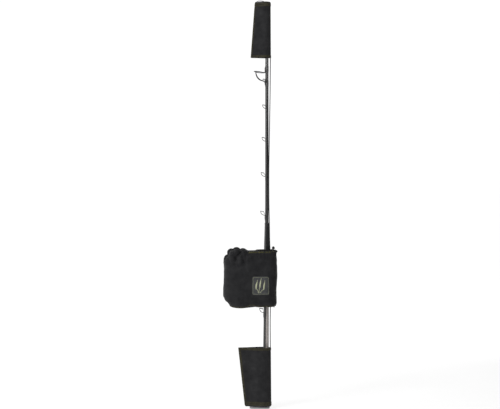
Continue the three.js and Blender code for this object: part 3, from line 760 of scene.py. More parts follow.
def make_tip_section():
    wraps = Shape()
    number = 1
    while "guide_%d_ring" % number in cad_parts:
        foot_low, foot_high = make_tip_guide("guide_%d" % number)
        wrap(wraps, tip_axis, foot_low - 3 * MM, foot_high - 1.2 * MM, foot_low, foot_high, 1.1 * MM,
             1.25 * MM)
        number += 1
    wraps.piece("tip_wraps", WRAP, "root", "tip_blank")

    low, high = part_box("tip_top_ring")
    radius = (high.y - low.y) / 2 + 0.8 * MM
    centre = tip_axis.local(box_centre("tip_top_ring"))
    tube_low, tube_high = tip_axis.length - 12 * MM, tip_axis.length - 0.5 * MM
    top, insert = Shape(), Shape()
    ring_and_insert(top, insert, tip_axis, centre, radius, 0.55 * MM, 1.6 * MM)
    sleeve = rounded(2.5 * MM, tube_low, tube_high, 0.3 * MM, 1.75 * MM)
    top.turned(sleeve, tip_axis.start, tip_axis.direction, 36)
    for side in (-1, 1):
        start = (centre.x + 0.26 * radius, side * 0.95 * radius, centre.z)
        bend = (centre.x + 0.6 * radius, side * 0.9 * radius, tube_high - 3 * MM)
        end = (-0.5 * MM, side * 2.2 * MM, tube_low + 4 * MM)
        top.tube([tip_axis.place(*p) for p in leg_route(start, bend, end)], 0.65 * MM, 12)
    top.piece("tip_top_fitting", FRAME, "root", "guide_frame", ["tip_top_frame"])
    insert.piece("tip_top_insert", CERAMIC, "root", "ceramic", ["tip_top_ring"])

    r = 6.3 * MM
    outside = [(r - 0.4 * MM, 1 * MM), (r, 1.5 * MM)]
    for groove in (6, 9):
        outside += [(r, groove * MM), (r - 0.35 * MM, (groove + 0.4) * MM),
                    (r - 0.35 * MM, (groove + 0.9) * MM),
                    (r, (groove + 1.3) * MM)]
    outside += [(r, 38 * MM), (r - 0.5 * MM, 45.5 * MM), (r - 0.8 * MM, 46 * MM)]
    bore = 5.25 * MM
    Shape().turned([*outside, (bore, 46 * MM), (bore, 1 * MM), outside[0]], tip_axis.start,
                   tip_axis.direction,
                   48).piece("ferrule", ALLOY, "root", "alloy", ["joint_collar"], 30)


def make_stripper():
    """The big double-foot guide nearest the reel."""
    axis = butt_axis
    low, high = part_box("stripper_ring")
    radius = (high.y - low.y) / 2 + 2.25 * MM
    centre = axis.local(box_centre("stripper_ring"))
    low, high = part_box("stripper_frame")
    feet = ((low.z - axis.start.z, 20 * MM), (high.z - axis.start.z, -22 * MM))
    shape, insert = Shape(), Shape()
    ring_and_insert(shape, insert, axis, centre, radius, 2 * MM, 2.6 * MM)
    wraps = Shape()
    for tip_end, length in feet:
        foot_bar(shape, axis, tip_end, tip_end + length, 1.7 * MM, 2.4 * MM)
    (lower, lower_length), (upper, upper_length) = feet
    wrap(wraps, axis, lower - 4 * MM, lower + lower_length - 2 * MM, lower, lower + lower_length, 1.7 * MM,
         2.5 * MM)
    wrap(wraps, axis, upper + upper_length + 2 * MM, upper + 4 * MM, upper + upper_length - 8 * MM,
         upper - 3 * MM,
         1.7 * MM, 2.5 * MM)
    wraps.piece("stripper_wraps", WRAP, "root", "blank")
    foot_x = -axis.radius(lower) - 1.1 * MM
    heel = lower + lower_length
    for side in (-1, 1):
        start = (centre.x - 0.62 * radius, side * 0.76 * radius, centre.z + 0.2 * MM)
        bend = (centre.x - 0.42 * radius, side * 0.22 * radius, heel - 2 * MM)
        end = (foot_x, side * 1.4 * MM, heel - 3.5 * MM)
        route = [axis.place(*p) for p in leg_route(start, bend, end, 22)]
        shape.tube(route, [(1.5 + 0.7 * math.sin(math.pi * i / 22)) * MM for i in range(23)], 14, flat=0.8)
        brace = leg_route((centre.x + 0.80 * radius, side * 0.56 * radius, centre.z - 0.6 * MM),
                          (foot_x - 1.5 * MM, side * 3 * MM, centre.z - 1 * MM),
                          (foot_x, side * 1.2 * MM, upper + upper_length + 2 * MM))
        shape.tube([axis.place(*p) for p in brace], 1.0 * MM, 12)
    shape.piece("stripper_legs", FRAME, "root", "guide_frame", ["stripper_frame"])
    insert.piece("stripper_insert", CERAMIC, "root", "ceramic", ["stripper_ring"])


make_tip_section()
make_stripper()


# ---- skins: soft shells that tapes, stitches and the patch follow --------------------------------

class Skin:
    """A grid of points: rows of closed loops, anticlockwise seen from above, rows going up the outside."""

    def __init__(self, rows):
        self.rows = [[Vector(p) for p in row] for row in rows]
        self.count = len(rows[0])
        self.normals = []
        last = len(rows) - 1
        for r, row in enumerate(self.rows):
            above, below = self.rows[min(r + 1, last)], self.rows[max(r - 1, 0)]
            line = []
            for c in range(self.count):
                around = row[(c + 1) % self.count] - row[c - 1]
                line.append(around.cross(above[c] - below[c]).normalized())
            self.normals.append(line)

    def mix(self, grid, r, c):
        r = min(max(r, 0.0), len(self.rows) - 1.0)
        low, left = int(r), math.floor(c)
        high = min(low + 1, len(self.rows) - 1)
        a, b = left % self.count, (left + 1) % self.count
        first = grid[low][a].lerp(grid[low][b], c - left)
        second = grid[high][a].lerp(grid[high][b], c - left)
        return first.lerp(second, r - low)

    def at(self, r, c, out=0.0):
        """The point at row r and column c, which need not be whole, that far out from the skin."""
        return self.mix(self.rows, r, c) + self.mix(self.normals, r, c) * out

    def shifted(self, out):
        return [[p + n * out for p, n in zip(row, line)] for row, line in zip(self.rows, self.normals)]


def tape(shape, skin, rows, columns, thickness, along_columns=True, sink=0.4 * MM):
    """A tape that lies on a skin between two rows and two columns, its edges rounded down to the skin."""
    across = 8
    r0, r1 = rows
    c0, c1 = columns
    full = along_columns and c1 - c0 >= skin.count
    steps = max(2, round(abs(c1 - c0) if along_columns else abs(r1 - r0) * 2))
    loops = []
    for i in range(steps + (0 if full else 1)):
        part = i / steps
        loop = []
        for k in range(across + 1):
            share = k / across
            edge = math.sin(math.pi * share) ** 0.35
            place = (r0 + share * (r1 - r0), c0 + part * (c1 - c0))
            if not along_columns:
                place = (r0 + part * (r1 - r0), c1 + share * (c0 - c1))
            loop.append(skin.at(*place, thickness * edge))
        for k in range(across, -1, -1):
            share = k / across
            place = (r0 + share * (r1 - r0), c0 + part * (c1 - c0))
            if not along_columns:
                place = (r0 + part * (r1 - r0), c1 + share * (c0 - c1))
            loop.append(skin.at(*place, -sink))
        loops.append(loop[::-1])
    return shape.loops(loops, closed=full)


def stitch_row(shape, skin, start, end, length=2.6 * MM, gap=1.3 * MM, out=0.5 * MM, radius=0.28 * MM):
    """A row of short stitches along a skin, from one (row, column) to another."""
    fine = 500
    points = []
    for i in range(fine + 1):
        part = i / fine
        points.append(skin.at(start[0] + part * (end[0] - start[0]), start[1] + part * (end[1] - start[1]),
                              out))
    for point, direction in along(points, length + gap):
        half = direction * (length / 2)
        ends = [point - half, point - half * 0.6, point + half * 0.6, point + half]
        shape.tube(ends, [radius * 0.5, radius, radius, radius * 0.5], 6)
    return shape


# ---- end caps -------------------------------------------------------------------------------------

def level_extent(node, z):
    """Lowest and highest x and y of a CAD node's points near one height."""
    points = [v.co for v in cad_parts[node].data.vertices if abs(v.co.z - z) < 0.5 * MM]
    return (min(p.x for p in points), max(p.x for p in points),
            min(p.y for p in points), max(p.y for p in points))


def at_height(point, z):
    return Vector((point.x, point.y, z))


class Cap:
    """A tapered two-panel sleeve: full round the rods on the right, flat and slack on the left."""

    columns = 132
    levels = 84
    wall = 2.6 * MM

    def __init__(self, node, closed_up, slack):
        self.closed_up = closed_up
        low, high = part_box(node)
        self.low, self.high = low.z, high.z
        self.ends = level_extent(node, low.z), level_extent(node, high.z)
        self.slack = slack
        rows = []
        for level in range(self.levels + 1):
            z = self.low + (self.high - self.low) * level / self.levels
            rows.append([self.point(2 * math.pi * c / self.columns, z) for c in range(self.columns)])
        self.skin = Skin(rows)

    def point(self, t, z):
        part = (z - self.low) / (self.high - self.low)
        left, right, front, back = (a + part * (b - a) for a, b in zip(*self.ends))
        share = (1 - math.cos(t)) / 2
        x = right - (right - left) * share
        thin, thick = 5.5 * MM, (back - front) / 2 - 0.6 * MM
        half = thin + (thick - thin) * hump(share, 0.22, 0.40)
        bulge = math.copysign(abs(math.sin(t)) ** 0.72, math.sin(t))
        y = (front + back) / 2 + half * bulge
        away = (self.high - z if self.closed_up else z - self.low) / (self.high - self.low)
        loose = self.slack * ease(share, 0.25, 0.8) * math.sin(t)
        sway = noise.noise(Vector((x * 26, y * 9, z * 17))) * 2.4 * MM
        crease = noise.noise(Vector((x * 20 + z * 30, y * 8, z * 95 + 7))) * 1.5 * MM
        tuck = math.sin(x * 210 + 2 * math.sin(z * 40)) * ease(away, 0.55, 1.0) * 0.5 * MM
        y += (sway + crease * (0.25 + ease(share, 0.3, 0.7)) + tuck) * loose
        return Vector((x, y, z))

    def rounding(self, count=6, radius=4 * MM):
        """Rows that turn the closed end's edge over, as (inset, distance from the end)."""
        made = []
        for i in range(count + 1):
            angle = math.radians(90 * i / count)
            made.append((radius - radius * math.cos(angle), radius - radius * math.sin(angle)))
        return made

    def outside(self):
        skin, rows = self.skin, []
        turn = self.rounding()
        depth = turn[0][1] / ((self.high - self.low) / self.levels)
        last = self.levels
        body = [skin.rows[r] for r in range(last + 1) if depth <= (last - r if self.closed_up else r)]
        for inset, from_end in turn:
            z = self.high - from_end if self.closed_up else self.low + from_end
            r = last * (z - self.low) / (self.high - self.low)
            rows.append([at_height(skin.at(r, c, -inset), z) for c in range(skin.count)])
        return body + rows if self.closed_up else rows[::-1] + body

    def inside(self):
        """Rows of the lining, from the open rim to the closed end."""
        spare = round(3 * MM / ((self.high - self.low) / self.levels)) + 1
        lining = self.skin.shifted(-self.wall)
        return lining[:self.levels - spare] if self.closed_up else lining[spare:][::-1]

    def rim(self, out, drop):
        """A loop near the open rim, moved out from the skin and away from the rim."""
        r = 0.0 if self.closed_up else float(self.levels)
        z = self.low + drop if self.closed_up else self.high - drop
        return [at_height(self.skin.at(r, c, out), z) for c in range(self.skin.count)]

    def shell(self):
        fold = [self.rim(-self.wall * 0.85, 0.0), self.rim(-self.wall * 0.15, 0.0)]
        if self.closed_up:
            return self.inside()[::-1] + fold + self.outside()
        return self.outside() + fold[::-1] + self.inside()


def make_cap(node, closed_up, slack, hem, end_band):
    """The sleeve, its hem and end binding, the seam down its flat edge, and their stitches."""
    cap = Cap(node, closed_up, slack)
    skin = cap.skin
    Shape().loops(cap.shell()).piece(node + "_shell", NEOPRENE, node, "neoprene", [node], 60)

    per_metre = cap.levels / (cap.high - cap.low)
    last = cap.levels
    hem_rows = (0.0, hem * per_metre) if closed_up else (last - hem * per_metre, float(last))
    edge = 4.2 * MM * per_metre
    band = end_band * per_metre
    band_rows = (last - edge - band, last - edge) if closed_up else (edge, edge + band)
    bindings = Shape()
    for rows in (hem_rows, band_rows):
        tape(bindings, skin, rows, (0, skin.count), 0.9 * MM)
    half = skin.count / 2
    reach = skin.count * 0.085
    seam_rows = (hem_rows[1], band_rows[0]) if closed_up else (band_rows[1], hem_rows[0])
    tape(bindings, skin, seam_rows, (half - reach, half + reach), 0.8 * MM, along_columns=False)
    bindings.piece(node + "_binding", BINDING, node, "webbing", (), 60)

    stitches = Shape()
    around = (0.0, float(skin.count))
    for share in (0.2, 0.8):
        for rows in (hem_rows, band_rows):
            r = rows[0] + share * (rows[1] - rows[0])
            stitch_row(stitches, skin, (r, around[0]), (r, around[1]), out=0.85 * MM)
    for side in (-1, 1):
        column = half + side * reach * 0.8
        stitch_row(stitches, skin, (seam_rows[0], column), (seam_rows[1], column), out=0.75 * MM)
    stitches.piece(node + "_stitches", STITCH, node, "cord", (), 60)


make_cap("top_cap", True, 1.0, hem=9 * MM, end_band=13 * MM)
make_cap("bottom_cap", False, 1.3, hem=9 * MM, end_band=14 * MM)


def make_tab():
    """A grey webbing tab folded flat across the closed end."""
    low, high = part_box("top_tab")
    middle = (low + high) / 2
    width = high.x - low.x
    thick = 1.3 * MM
    shape = Shape()
    rows = []
    for i in range(25):
        part = i / 24
        x = low.x + width * part
        arch = (high.z - low.z - thick) * math.sin(math.pi * part) ** 0.4
        z = low.z + arch
        row = []
        for k in range(16):
            angle = 2 * math.pi * k / 16
            y = middle.y + 5.5 * MM * math.copysign(abs(math.cos(angle)) ** 0.35, math.cos(angle))
            row.append(Vector((x, y, z + thick / 2 + thick / 2 * math.sin(angle))))
        rows.append(row[::-1])
    shape.loops(rows)
    shape.piece("top_tab_web", WEBBING, "top_cap", "webbing", ["top_tab"], 50)


def make_sole():
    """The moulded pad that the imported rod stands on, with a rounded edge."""
    low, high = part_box("sole_pad")
    corner, edge = 7 * MM, 2.6 * MM
    rows = []
    levels = [(edge, 0.0), (edge * 0.3, edge * 0.25), (0.0, edge), (0.0, high.z - 1.2 * MM),
              (0.5 * MM, high.z - 0.3 * MM),
              (1.2 * MM, high.z)]
    for inset, z in levels:
        row = []
        for cx, cy, start in ((high.x - corner, low.y + corner, -90), (high.x - corner, high.y - corner, 0),
                              (low.x + corner, high.y - corner, 90), (low.x + corner, low.y + corner, 180)):
            for i in range(9):
                angle = math.radians(start + 90 * i / 8)
                reach = corner - inset
                row.append(Vector((cx + reach * math.cos(angle), cy + reach * math.sin(angle), z)))
        rows.append(row)
    Shape().loops(rows).piece("sole_pad_moulded", SOLE, "bottom_cap", "sole", ["sole_pad"], 50)


make_tab()
make_sole()


# ---- reel pouch -----------------------------------------------------------------------------------

def even_loop(points, count):
    """A closed loop resampled so that its points lie at equal distances."""
    closed = points + points[:1]
    lengths = [0.0]
    for a, b in zip(closed, closed[1:]):
        lengths.append(lengths[-1] + (b - a).length)
    made, k = [], 0
    for i in range(count):
        target = lengths[-1] * i / count
        while lengths[k + 1] < target:
            k += 1
        made.append(closed[k].lerp(closed[k + 1], (target - lengths[k]) / (lengths[k + 1] - lengths[k])))
    return made


def between(knots, value):
    """The value at a place among (place, value) knots, on straight lines between them."""
    for (a, low), (b, high) in zip(knots, knots[1:]):
        if value <= b:
            return low + (high - low) * max(0.0, value - a) / (b - a)
    return knots[-1][1]


class Pouch:
    """The padded reel pouch: boxy body, rounded corners, and a mouth drawn shut round the rods."""

    columns = 360
    wall = 3.6 * MM
    squareness = 3.8
    pleats = 23
    # How far each side is drawn in, as (height above the bottom, inset), both in millimetres.
    left_inset = ((0, 32), (4, 24), (16, 15), (22, 6), (38, 0), (70, 0.4), (111, 1.2), (160, 2.0),
                  (182, 10), (191, 17))
    right_inset = ((0, 13), (3, 7), (8, 2.6), (15, 0.6), (66, 2.6), (115, 0.4), (191, 1.6))
    # Short creases on the front, as (x, height above the bottom, half length, half width, slope, depth).
    creases = ((-62, 181, 13, 4.0, 0.45, 2.6), (-80, 170, 20, 5.0, 0.9, -2.4), (-21, 174, 9, 3.0, -1.1, 1.8),
               (-34, 166, 16, 4.0, -0.7, -1.5), (-48, 158, 30, 6.0, 0.1, 1.6), (-88, 150, 26, 6.0, 0.2, -1.8),
               (-100, 185, 18, 4.5, 1.4, -3.6), (-125, 176, 16, 4.0, 0.8, 3.0),
               (-132, 160, 18, 4.0, 0.5, -2.2),
               (-112, 168, 16, 4.0, 1.0, 2.4), (-86, 24, 14, 6.0, 2.2, -2.4), (-100, 20, 30, 7.0, 0.1, 1.8))

    def __init__(self):
        low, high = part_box("pouch")
        self.low, self.high = low, high
        self.bottom = low.z
        self.shoulder = high.z - 13 * MM
        self.rim_rise = 9 * MM
        self.mouth = Vector((-5 * MM, -0.5 * MM, high.z - 0.4 * MM))
        self.mouth_axes = (27 * MM, 25 * MM)
        self.lump = Vector((low.x + 47 * MM, 10 * MM, 0))
        rows = self.bottom_rows() + self.side_rows()
        self.first_side = len(self.bottom_rows())
        self.last_side = len(rows) - 1
        rows += self.top_rows(rows[-1])
        self.skin = Skin(rows)
        self.pleated()

    def section(self, z):
        """One level section, with its corners drawn in towards the bottom and the shoulder."""
        above = (z - self.bottom) / MM
        foot = 1 - math.sqrt(max(0.0, 1 - (max(0.0, 30 - above) / 31) ** 2))
        crown = 1 - math.sqrt(max(0.0, 1 - (max(0.0, above - 168) / 34) ** 2))
        left = self.low.x + between(self.left_inset, above) * MM
        right = self.high.x - between(self.right_inset, above) * MM
        front = self.low.y + (1 + 12 * foot + 8 * crown) * MM
        back = self.high.y - (1 + 12 * foot + 12 * crown) * MM
        middle = Vector(((left + right) / 2, (front + back) / 2, z))
        half_x, half_y = (right - left) / 2, (back - front) / 2
        dense = []
        for i in range(720):
            angle = 2 * math.pi * i / 720
            c, s = math.cos(angle), math.sin(angle)
            dense.append(middle + Vector((half_x * math.copysign(abs(c) ** (2 / self.squareness), c),
                                          half_y * math.copysign(abs(s) ** (2 / self.squareness), s), 0)))
        return [self.settled(p) for p in even_loop(dense, self.columns)]

    def settled(self, point):
        """Lets the bottom sag left of the handle and rise beside it, and lifts the rim at the right."""
        above = (point.z - self.bottom) / (self.shoulder - self.bottom)
        low_part = 1 - ease(above, 0.0, 0.2)
        sag = 4.0 * MM * hump(point.x, -98 * MM, 34 * MM) - 7.0 * MM * hump(point.x, -57 * MM, 13 * MM)
        lift = self.rim_rise * ease(point.x, -100 * MM, -52 * MM) + 3 * MM * ease(point.x, 5 * MM, 34 * MM)
        lift *= max(0.0, above) ** 5
        return Vector((point.x, point.y, point.z - sag * low_part + lift))

    def hole(self, rim, z, axes):
        """The edge of an opening round the rods, each point in line with its point of the rim."""
        made = []
        for point in rim:
            angle = math.atan2(point.y - self.mouth.y, point.x - self.mouth.x)
            made.append(Vector((self.mouth.x + axes[0] * math.cos(angle),
                                self.mouth.y + axes[1] * math.sin(angle), z)))
        return made

    def bottom_rows(self):
        rim = self.section(self.bottom + 1.5 * MM)
        hole = self.hole(rim, self.bottom + 1.5 * MM, (30 * MM, 26 * MM))
        return [[a.lerp(b, k / 9) for a, b in zip(hole, rim)] for k in range(9)]

    def side_rows(self):
        rows = []
        count = 84
        for k in range(count + 1):
            z = self.bottom + 1.5 * MM + (self.shoulder - self.bottom - 1.5 * MM) * k / count
            rows.append([self.dented(p) for p in self.section(z)])
        return rows

    def dented(self, point):
        """Soft hollows, ridges and creases where the padding gives between the reel and the rods."""
        x, y, z = point
        outward = Vector((x, y - 16 * MM, 0)).normalized()
        edge = ease(z, self.bottom + 4 * MM, self.bottom + 40 * MM)
        soft = noise.noise(Vector((x * 13, y * 13, z * 10))) * 4.2 * MM
        fold = noise.noise(Vector((x * 34 - z * 26, y * 20, z * 36 + x * 12))) * 2.0 * MM
        fold *= 0.35 + ease(z, self.high.z - 90 * MM, self.high.z - 25 * MM)
        ridge = 2.6 * MM * hump(x, -70 * MM, 14 * MM) * (1 if y < 0 else 0.4)
        hollow = -2.4 * MM * hump(x, -28 * MM, 20 * MM) * hump(z, self.high.z - 70 * MM, 60 * MM)
        moved = edge * (soft + fold + ridge + hollow) - 1.2 * MM
        if y < 0:
            for cx, cz, length, width, slope, depth in self.creases:
                across = math.hypot(1, slope)
                dx, dz = x / MM - cx, (z - self.bottom) / MM - cz
                u, v = (dx + slope * dz) / across, (dz - slope * dx) / across
                moved += depth * MM * math.exp(-(u / length) ** 2 - (v / width) ** 2)
        return point + outward * moved

    def top_rows(self, rim):
        rows = []
        count = 36
        mouth = self.hole(rim, self.mouth.z, self.mouth_axes)
        for k in range(1, count + 1):
            part = k / count
            row = []
            for a, b in zip(rim, mouth):
                flat = a.lerp(b, part ** 1.15)
                turn = math.sqrt(1 - (1 - min(1.0, part / 0.22)) ** 2)
                level = self.high.z - 4 * MM
                z = a.z + (level - a.z) * turn + (self.mouth.z - level) * ease(part, 0.55, 1.0)
                lump = hump(flat.x, self.lump.x, 33 * MM) * hump(flat.y, self.lump.y, 48 * MM)
                flat.z = z + 9 * MM * lump * turn
                row.append(flat)
            rows.append(row)
        return rows

    def pleated(self):
        """Pushes the skin in and out along its normals: rounded gathers with sharp valleys, from the mouth
        over the shoulder, deepest in the loose bunch at the left."""
        skin = self.skin
        moved = []
        for r, row in enumerate(skin.rows):
            line = []
            for c, point in enumerate(row):
                angle = math.atan2(point.y - self.mouth.y, point.x - self.mouth.x)
                wander = noise.noise(Vector((math.cos(angle) * 2.3, math.sin(angle) * 2.3, point.z * 14)))
                wave = 1.9 * abs(math.sin(self.pleats * angle / 2 + wander * 2.6)) ** 0.75 - 1.15
                reach = math.hypot(point.x - self.mouth.x, point.y - self.mouth.y)
                loose = ease(-point.x, 52 * MM, 98 * MM)
                if r <= self.last_side:
                    fade = ease(point.z, self.high.z - (38 + 44 * loose) * MM, self.high.z - 12 * MM)
                    size = (1.1 + 5.2 * loose) * MM * fade
                else:
                    size = (1.3 + 5.0 * loose) * MM * min(1.0, 0.45 + reach / (80 * MM))
                bunch = ease(-point.x, 58 * MM, 84 * MM) * ease(point.z, self.high.z - 70 * MM,
                                                                self.high.z - 22 * MM)
                knuckle = abs(math.sin(math.pi * (point.x + 0.35 * point.z) / (26 * MM))) ** 0.6 - 0.6
                lobe = 6.5 * MM * bunch * knuckle
                small = noise.noise(point * 70) * 0.8 * MM * ease(point.z, self.bottom, self.bottom + 60 * MM)
                line.append(point + skin.normals[r][c] * (wave * size + lobe + small))
            moved.append(line)
        self.skin = Skin(moved)

    def shell(self):
        """The outside, over the mouth's edge, and the lining back down to the lower opening."""
        lining = self.skin.shifted(-self.wall)
        return self.skin.rows + lining[::-1]

    def front_column(self, row, x):
        """The column, not whole, where the front of a row passes a given x."""
        points = self.skin.rows[int(row)]
        start = self.columns // 2
        for c in range(start, self.columns - 1):
            a, b = points[c], points[c + 1]
            if a.x <= x <= b.x and a.y < 0:
                return c + (x - a.x) / (b.x - a.x)
        return float(start)

    def front_frame(self, row, x):
        """The column where the front of a row passes x, and the mean width of the columns left of it."""
        left, right = self.front_column(row, x - 70 * MM), self.front_column(row, x - 10 * MM)
        return self.front_column(row, x), 60 * MM / (right - left)


pouch = Pouch()


def make_pouch():
    skin = pouch.skin
    shell = Shape().loops(pouch.shell(), closed=True).piece(
        "pouch_shell", POUCH_CLOTH, "root", "neoprene", ["pouch"], 75)

    side, around = pouch.first_side, skin.count
    bottom_rows = (side + 0.4, side + 2.6)
    rim_rows = (pouch.last_side - 1.0, pouch.last_side + 0.9)
    start = pouch.front_column(pouch.last_side - 1, -66 * MM)
    length = around * 0.4
    bindings = Shape()
    tape(bindings, skin, bottom_rows, (0, around), 0.9 * MM)
    seam = around * 0.5
    tape(bindings, skin, (bottom_rows[1], rim_rows[0]), (seam - 3.2, seam + 3.2), 0.8 * MM,
         along_columns=False)
    last = len(skin.rows) - 1
    tape(bindings, skin, (last - 4.0, last), (0, around), 0.9 * MM)
    bindings.piece("pouch_binding", BINDING, "root", "webbing", (), 60)
    tape(Shape(), skin, rim_rows, (start, start + length), 1.2 * MM).piece("pouch_hem", HEM, "root",
                                                                           "webbing", (), 60)

    stitches = Shape()
    row = (bottom_rows[0] + bottom_rows[1]) / 2
    stitch_row(stitches, skin, (row, 0.0), (row, float(around)), out=0.95 * MM)
    row = rim_rows[0] - 0.6
    stitch_row(stitches, skin, (row, start), (row, start + length), out=0.1 * MM)
    for column in (seam - 2.4, seam + 2.4):
        stitch_row(stitches, skin, (bottom_rows[1], column), (rim_rows[0], column), out=0.75 * MM)
    stitches.piece("pouch_stitches", STITCH, "root", "cord", (), 60)


# ---- patch: a plain stitched rectangle with three reeds --------------------------------------------

PATCH_X, PATCH_Z = -22 * MM, 445 * MM
PATCH_WIDE, PATCH_TALL, PATCH_CORNER = 62 * MM, 66 * MM, 7 * MM
patch_frames = [pouch.front_frame(row, PATCH_X) for row in range(pouch.first_side, pouch.last_side + 1)]


def patch_place(p, q, out):
    """A point of the pouch's front: p along the cloth from the patch's middle, q up, out from the cloth."""
    skin, low, high = pouch.skin, pouch.first_side, pouch.last_side
    middle = 0.75 * skin.count
    bottom = skin.at(low, middle).z
    row_height = (skin.at(high, middle).z - bottom) / (high - low)
    r = low + (PATCH_Z + q - bottom) / row_height
    column = middle
    for _ in range(3):
        r = min(max(r, low), high - 1)
        share = r - int(r)
        (start, step), (next_start, next_step) = patch_frames[int(r) - low:int(r) - low + 2]
        column = start + share * (next_start - start) + p / (step + share * (next_step - step))
        r += (PATCH_Z + q - skin.at(r, column).z) / row_height
    return skin.at(r, column, out)


def brush(shape, route, width):
    """An embroidered stroke: width is one value or one per point, in the patch's plane."""
    thick, out = 0.8 * MM, 0.7 * MM
    points = [Vector((p, q, 0)) for p, q in route]
    widths = width if hasattr(width, "__len__") else [width] * len(points)
    loops = []
    for i, point in enumerate(points):
        tangent = (points[min(i + 1, len(points) - 1)] - points[max(i - 1, 0)]).normalized()
        side = Vector((-tangent.y, tangent.x, 0)) * (widths[i] / 2)
        loop = []
        for share, rise in ((-1, 0), (-0.8, 0.75), (-0.35, 1), (0.35, 1), (0.8, 0.75), (1, 0)):
            place = point + side * share
            loop.append(patch_place(place.x, place.y, out + thick * rise))
        loop.append(patch_place(point.x + side.x, point.y + side.y, out - 0.5 * MM))
        loop.append(patch_place(point.x - side.x, point.y - side.y, out - 0.5 * MM))
        loops.append(loop[::-1])
    shape.loops(loops)


def bent(start, end, bow, steps=16):
    """Points of a stroke from start to end that bows sideways."""
    a, b = Vector((*start, 0)), Vector((*end, 0))
    side = Vector((a.y - b.y, b.x - a.x, 0)).normalized() * bow
    points = [a.lerp(b, i / steps) + side * math.sin(math.pi * i / steps) for i in range(steps + 1)]
    return [(p.x, p.y) for p in points]


def tapered(width, count, tip):
    """Widths of a stroke that is full in the middle and narrows to a share of its width at both ends."""
    swell = [math.sin(math.pi * (0.12 + 0.76 * i / (count - 1))) for i in range(count)]
    return [width * (tip + (1 - tip) * share) for share in swell]


def in_metres(route):
    return [(p * MM, q * MM) for p, q in route]


def patch_edge(p, inset=0.0):
    """Half the patch's height at p, with its corners rounded."""
    past = max(0.0, abs(p) - (PATCH_WIDE / 2 - PATCH_CORNER))
    reach = PATCH_CORNER - inset
    return PATCH_TALL / 2 - PATCH_CORNER + math.sqrt(max(0.0, reach ** 2 - past ** 2))


def make_patch_field():
    """The plain cloth patch that the reeds are sewn on."""
    loops = []
    steps = 72
    for i in range(steps + 1):
        p = PATCH_WIDE / 2 * math.sin(math.pi * (i / steps - 0.5)) * 0.9999
        half = patch_edge(p)
        column = [(p, half * (k / 12 - 1)) for k in range(25)]
        outer = [patch_place(a, b, 0.5 * MM) for a, b in column]
        inner = [patch_place(a, b, -0.4 * MM) for a, b in column]
        loops.append(outer + inner[::-1])
    Shape().loops(loops).piece("patch_field", PATCH_FIELD, "root", "neoprene", (), 50)


def make_patch_border():
    """Short stitches all round, a little inside the patch's edge."""
    border = Shape()
    inset = 3 * MM
    right = [(PATCH_WIDE / 2 - inset) * math.sin(math.pi * (i / 30 - 0.5)) for i in range(31)]
    top = [Vector((p, patch_edge(p, inset), 0)) for p in right]
    low = [Vector((p.x, -p.y, 0)) for p in top[::-1]]
    for point, direction in along(top + low + top[:1], 4.2 * MM):
        ends = (point - direction * 1.2 * MM, point + direction * 1.2 * MM)
        brush(border, [(end.x, end.y) for end in ends], 1.1 * MM)
    border.piece("patch_stitches", PATCH_EDGE, "root", "emblem", (), 50)


def bulrush(shape, root, top, bow, width):
    """A stem, its fat seed head and the spike above it."""
    brush(shape, in_metres(bent(root, top, bow)), width * MM)
    x, y = top
    head = bent((x - 0.5, y - 2), (x + 3, y + 23), 0.8)
    brush(shape, in_metres(head), [w * MM for w in tapered(5.6, len(head), 0.4)])
    brush(shape, in_metres(bent((x + 3, y + 23), (x + 4, y + 31), 0)), 1.5 * MM)


def make_patch():
    make_patch_field()
    make_patch_border()
    shape = Shape()
    for root, top, bow, width in (((-6, -26), (-3, -4), 2, 1.8), ((-9, -26), (-17, -10), -2, 1.7),
                                  ((-2, -26), (11, -12), 2, 1.7)):
        bulrush(shape, root, top, bow, width)
    shape.piece("patch_reeds", PATCH_THREAD, "root", "emblem", (), 50)


make_pouch()
make_patch()


# ---- cords ----------------------------------------------------------------------------------------

def in_mm(points):
    return [Vector(p) * MM for p in points]


def make_elastic():
    """The thin elastic that joins the two caps, in two halves that meet out of sight in the pouch.
    Each half ends in its cap's hem."""
    radius = 1.5 * MM
    upper = [(12.9, 0, 1266.5), (12.2, 0.4, 1200), (11.4, 0.8, 1120), (9.4, 2, 1003), (7.4, 3.8, 870),
             (7.5, 4, 750),
             (9.2, 6.4, 670), (10.4, 7.4, 600), (13.4, 11.6, 545), (14.4, 12, 500), (14.4, 12, 470)]
    lower = [(14.4, 12, 470), (14.4, 12, 430), (13.6, 8, 385), (12.6, 3, 345), (12, 0.6, 300),
             (12.7, 0, 218.5)]
    for name, route, body, start in (("elastic_upper", upper, "top_cap", 0.60),
                                     ("elastic_lower", lower, "bottom_cap", 0.40)):
        points = curve_points(in_mm(route), 14)
        obj = Shape().tube(points, radius, 14).piece(name, CORD, None, "cord", ["elastic_cord"], 60)
        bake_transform(obj)


def make_draw_cord():
    """The cord round the pouch's mouth, from the lock right round and back into the lock."""
    radius = 1.3 * MM
    route = in_mm([(21.8, 30.1, 577), (20, 17, 574.6), (26.3, 8, 571.6), (26.3, -14, 571.6),
                   (12, -29.3, 571.6),
                   (-5, -29.3, 571.6), (-24, -29.3, 571.6), (-36.3, -12, 571.6), (-36.3, 10, 571.6),
                   (-22, 28.3, 571.6), (-5, 28.3, 571.6), (16, 28.3, 571.6), (28, 27.4, 575.6),
                   (26.2, 30.1, 577)])
    points = curve_points(route, 14)
    cord = Shape().tube(points, radius, 14).piece("draw_cord_braid", CORD, "root", "cord", ["draw_cord"], 60)


